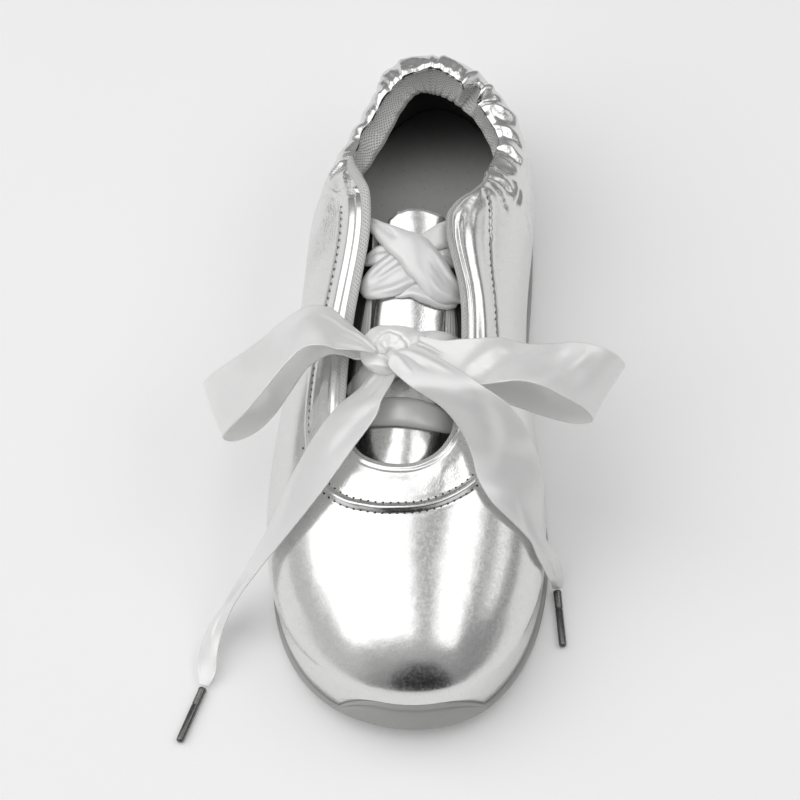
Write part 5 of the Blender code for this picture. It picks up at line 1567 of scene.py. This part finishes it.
def make_knot(finish):
    """Knot of the bow: a soft wrapped lump, its folds, and the scalloped curl around its hole."""
    rings, around = 120, 200
    lat = np.linspace(-math.pi / 2, math.pi / 2, rings)[1:-1]
    lon = np.linspace(0, 2 * math.pi, around + 1)[:-1]
    lat, lon = np.meshgrid(lat, lon, indexing="ij")
    ball = np.stack([np.cos(lat) * np.cos(lon), np.cos(lat) * np.sin(lon), np.sin(lat)], axis=-1)
    squared = np.sign(ball) * np.abs(ball) ** np.array([0.9, 0.85, 0.9])
    body = squared * np.array(KNOT_HALF) + np.array([KNOT_X, KNOT_T, KNOT_Z])
    x, t = body[..., 0], body[..., 1]
    off_x, off_t = x - KNOT_HOLE[0], t - KNOT_HOLE[1]
    bearing = np.degrees(np.arctan2(off_t, off_x))
    bearing = np.where(bearing < -80, bearing + 360, bearing)
    reach = np.hypot(off_x, off_t)
    ratio = reach / profile(ROSETTE, bearing)
    top = smoothstep(-0.1, 0.3, ball[..., 2])
    curl = smoothstep(-25, 5, bearing) * (1 - smoothstep(190, 206, bearing))
    turn = np.radians(bearing)
    pleats = 0.5 + 0.5 * np.cos(6.4 * turn + 1.1 * np.sin(2.3 * turn + 0.4) + 2.2 * ratio - 0.6)
    # The curl's crest and the trough outside it, its pleats, the hole and the hollow around it.
    rise = 0.85 * np.exp(-((ratio - 0.88) / 0.16) ** 2) * curl * (0.65 + 0.35 * pleats)
    rise -= 0.55 * np.exp(-((ratio - 1.12) / 0.1) ** 2) * curl
    rise += 0.42 * (pleats - 0.6) * np.exp(-((ratio - 0.55) / 0.28) ** 2) * curl
    rise -= 2.6 * np.exp(-(reach / 1.15) ** 2)
    rise -= 0.8 * np.exp(-(ratio / 0.55) ** 2) * curl
    rise = (rise + relief(KNOT_FOLDS, x, t)) * top
    body = body + unit(ball / np.array(KNOT_HALF)) * rise[..., None]
    tube("knot", place(body), finish, ("bow_knot",), weave_width=20.0)


# ---------------------------------------------------------------- floor, light and camera
CAMERA_TARGET = (-0.0042, -0.0114, 0.035)
CAMERA_DISTANCE = 1.195
CAMERA_RISE = 59.9       # degrees over level
CAMERA_AROUND = 6.14     # degrees from straight ahead of the toe, towards the medial side
CAMERA_ROLL = -4.23
CAMERA_LENS = 159.0

FLOOR_HALF = 4.0
FLOOR_GLOW = 0.06
# The room that the shoe mirrors: its level low down, then patches over one another, each with its
# direction, the cosines where it starts and is full, and its level. The last is the dark of the
# photographer's side.
SKY_BASE = 0.24
SKY_PATCHES = (
    ((0, 0, 1), -0.1, 0.9, 0.36),
    ((0, -0.5, 0.87), 0.75, 1.0, 0.46),
    ((-0.92, -0.15, 0.30), 0.55, 0.97, 0.56),
    ((0.17, -0.955, 0.285), 0.86, 0.94, 0.01),
)


def turn_to(thing, ahead, side):
    """Turns a camera or light so that it faces ahead, with its own X along side."""
    back = -Vector(ahead).normalized()
    side = (Vector(side) - back * back.dot(Vector(side))).normalized()
    thing.rotation_mode = "QUATERNION"
    thing.rotation_quaternion = Matrix((side, back.cross(side), back)).transposed().to_quaternion()


def softbox(name, start, end, forward, back, distance, radiance):
    """Square light over the shoe. It spans from start to end, degrees from overhead towards the
    medial side, and from forward to back, degrees from overhead towards the toe and the heel."""
    middle = math.radians((start + end) / 2)
    half = distance * math.tan(math.radians(end - start) / 2)
    ahead, behind = (distance * math.tan(math.radians(angle)) for angle in (forward, back))
    lamp = bpy.data.lights.new(name, "AREA")
    lamp.shape = "RECTANGLE"
    lamp.size, lamp.size_y = 2 * half, ahead + behind
    lamp.energy = radiance * math.pi * lamp.size * lamp.size_y
    made = bpy.data.objects.new(name, lamp)
    bpy.context.scene.collection.objects.link(made)
    made.location = (distance * math.sin(middle), (behind - ahead) / 2, distance * math.cos(middle))
    turn_to(made, (-math.sin(middle), 0, -math.cos(middle)),
            (math.cos(middle), 0, -math.sin(middle)))
    made.visible_camera = False


def make_stage():
    """Pale floor, soft studio light and the camera at the photograph's angle."""
    points = [(x * FLOOR_HALF, y * FLOOR_HALF, 0) for x, y in ((-1, -1), (1, -1), (1, 1), (-1, 1))]
    mesh = bpy.data.meshes.new("floor")
    mesh.from_pydata(points, [], [(0, 1, 2, 3)])
    floor = bpy.data.objects.new("floor", mesh)
    bpy.context.scene.collection.objects.link(floor)
    paper = Finish("floor_paper", Roughness=0.9, Emission_Color=(1, 1, 1, 1),
                   Emission_Strength=FLOOR_GLOW)
    cloudy = paper.noise(paper.place((MM, MM, MM)), 3.0)
    paper.set(Base_Color=paper.colours(cloudy, grey(0.90), grey(0.92)))
    mesh.materials.append(paper.material)

    softbox("softbox_left", -62, 6, 32, 25, 1.2, 1.3)
    softbox("softbox_right", 23, 50, 28, 25, 1.2, 1.3)
    softbox("softbox_low", 63, 76, 6, 12, 1.2, 0.9)

    world = bpy.data.worlds.new("studio")
    bpy.context.scene.world = world
    world.use_nodes = True
    sky = Nodes(world.node_tree)
    way = sky.node("TexCoord").outputs["Generated"]
    shade = grey(SKY_BASE)
    for direction, low, high, level in SKY_PATCHES:
        facing = sky.node("VectorMath", {0: way, 1: Vector(direction).normalized()},
                          operation="DOT_PRODUCT").outputs["Value"]
        shade = sky.colours(sky.ramp(facing, low, high), shade, grey(level))
    sky.feed(sky.tree.nodes["Background"].inputs["Color"], shade)

    data = bpy.data.cameras.new("camera")
    data.sensor_width = 36.0
    data.lens = CAMERA_LENS
    data.clip_end = 20.0
    camera = bpy.data.objects.new("camera", data)
    bpy.context.scene.collection.objects.link(camera)
    rise, around, roll = np.radians((CAMERA_RISE, CAMERA_AROUND, CAMERA_ROLL)).tolist()
    offset = Vector((math.sin(around), -math.cos(around), math.tan(rise))).normalized()
    camera.location = Vector(CAMERA_TARGET) + offset * CAMERA_DISTANCE
    level = (-offset).cross(Vector((0, 0, 1))).normalized()
    turn_to(camera, -offset, Quaternion(-offset, -roll) @ level)
    bpy.context.scene.camera = camera
    bpy.context.scene.view_settings.view_transform = "Standard"


# ---------------------------------------------------------------- the shoe
silver = silver_leather("silver_leather", 0.235, 1.0)
tongue_silver = silver_leather("tongue_leather", 0.24, 2.4)
satin = satin_ribbon("ribbon_satin")
collar_knit = knit("collar_knit", grey(0.84, 0.015), grey(0.24, 0.005), 0.9, 0.22)
tape_knit = knit("tape_knit", grey(0.74, 0.015), grey(0.36, 0.01), 0.95, 0.20)
sole_rubber = rubber("sole_rubber")
footbed_cloth = footbed("footbed_cloth")
gore_elastic = elastic("gore_elastic")
aglet_metal = gunmetal("aglet_metal")

make_stage()

aglets = [make_aglet(row, aglet_metal) for row in AGLETS]
make_knot(satin)
ribbons = [(make_ribbon(*ribbon, satin), ribbon[1]) for ribbon in (
    ("bow_loop_lateral", LOOP_LATERAL, LOOP_LATERAL_FOLDS, LOOP_LATERAL_CUP),
    ("bow_loop_medial", LOOP_MEDIAL, LOOP_MEDIAL_FOLDS, LOOP_MEDIAL_CUP),
    ("tail_lateral", TAIL_LATERAL, TAIL_LATERAL_FOLDS, TAIL_LATERAL_CUP),
    ("tail_medial", TAIL_MEDIAL, TAIL_MEDIAL_FOLDS, TAIL_MEDIAL_CUP),
)]

make_upper_skin(silver)
dark_thread = thread("dark_thread", (0.05, 0.05, 0.05))
for seam in (("welt_stitches_upper", 352.0, TOP_GIRTH + 29.0, 0.0, 2.5, (0.42, 0.34, 0.3)),
             ("welt_stitches_lower", 352.0, TOP_GIRTH + 29.0, 3.6, 2.45, (0.48, 0.38, 0.3)),
             ("facing_stitches_lateral", 29.5, 109.0, 0.0, 2.6, (0.62, 0.2, 0.22)),
             ("facing_stitches_medial", 264.0, 351.0, 0.0, 2.5, (0.62, 0.2, 0.22))):
    make_stitches(*seam, dark_thread)
make_lining(collar_knit, inner_cloth("inner_cloth"))
make_binding(tape_knit)
make_sole(sole_rubber)
make_footbed(footbed_cloth)
make_tongue(tongue_silver)
make_gore("gore_lateral", -1, gore_elastic)
make_gore("gore_medial", 1, gore_elastic)
make_laces(satin)
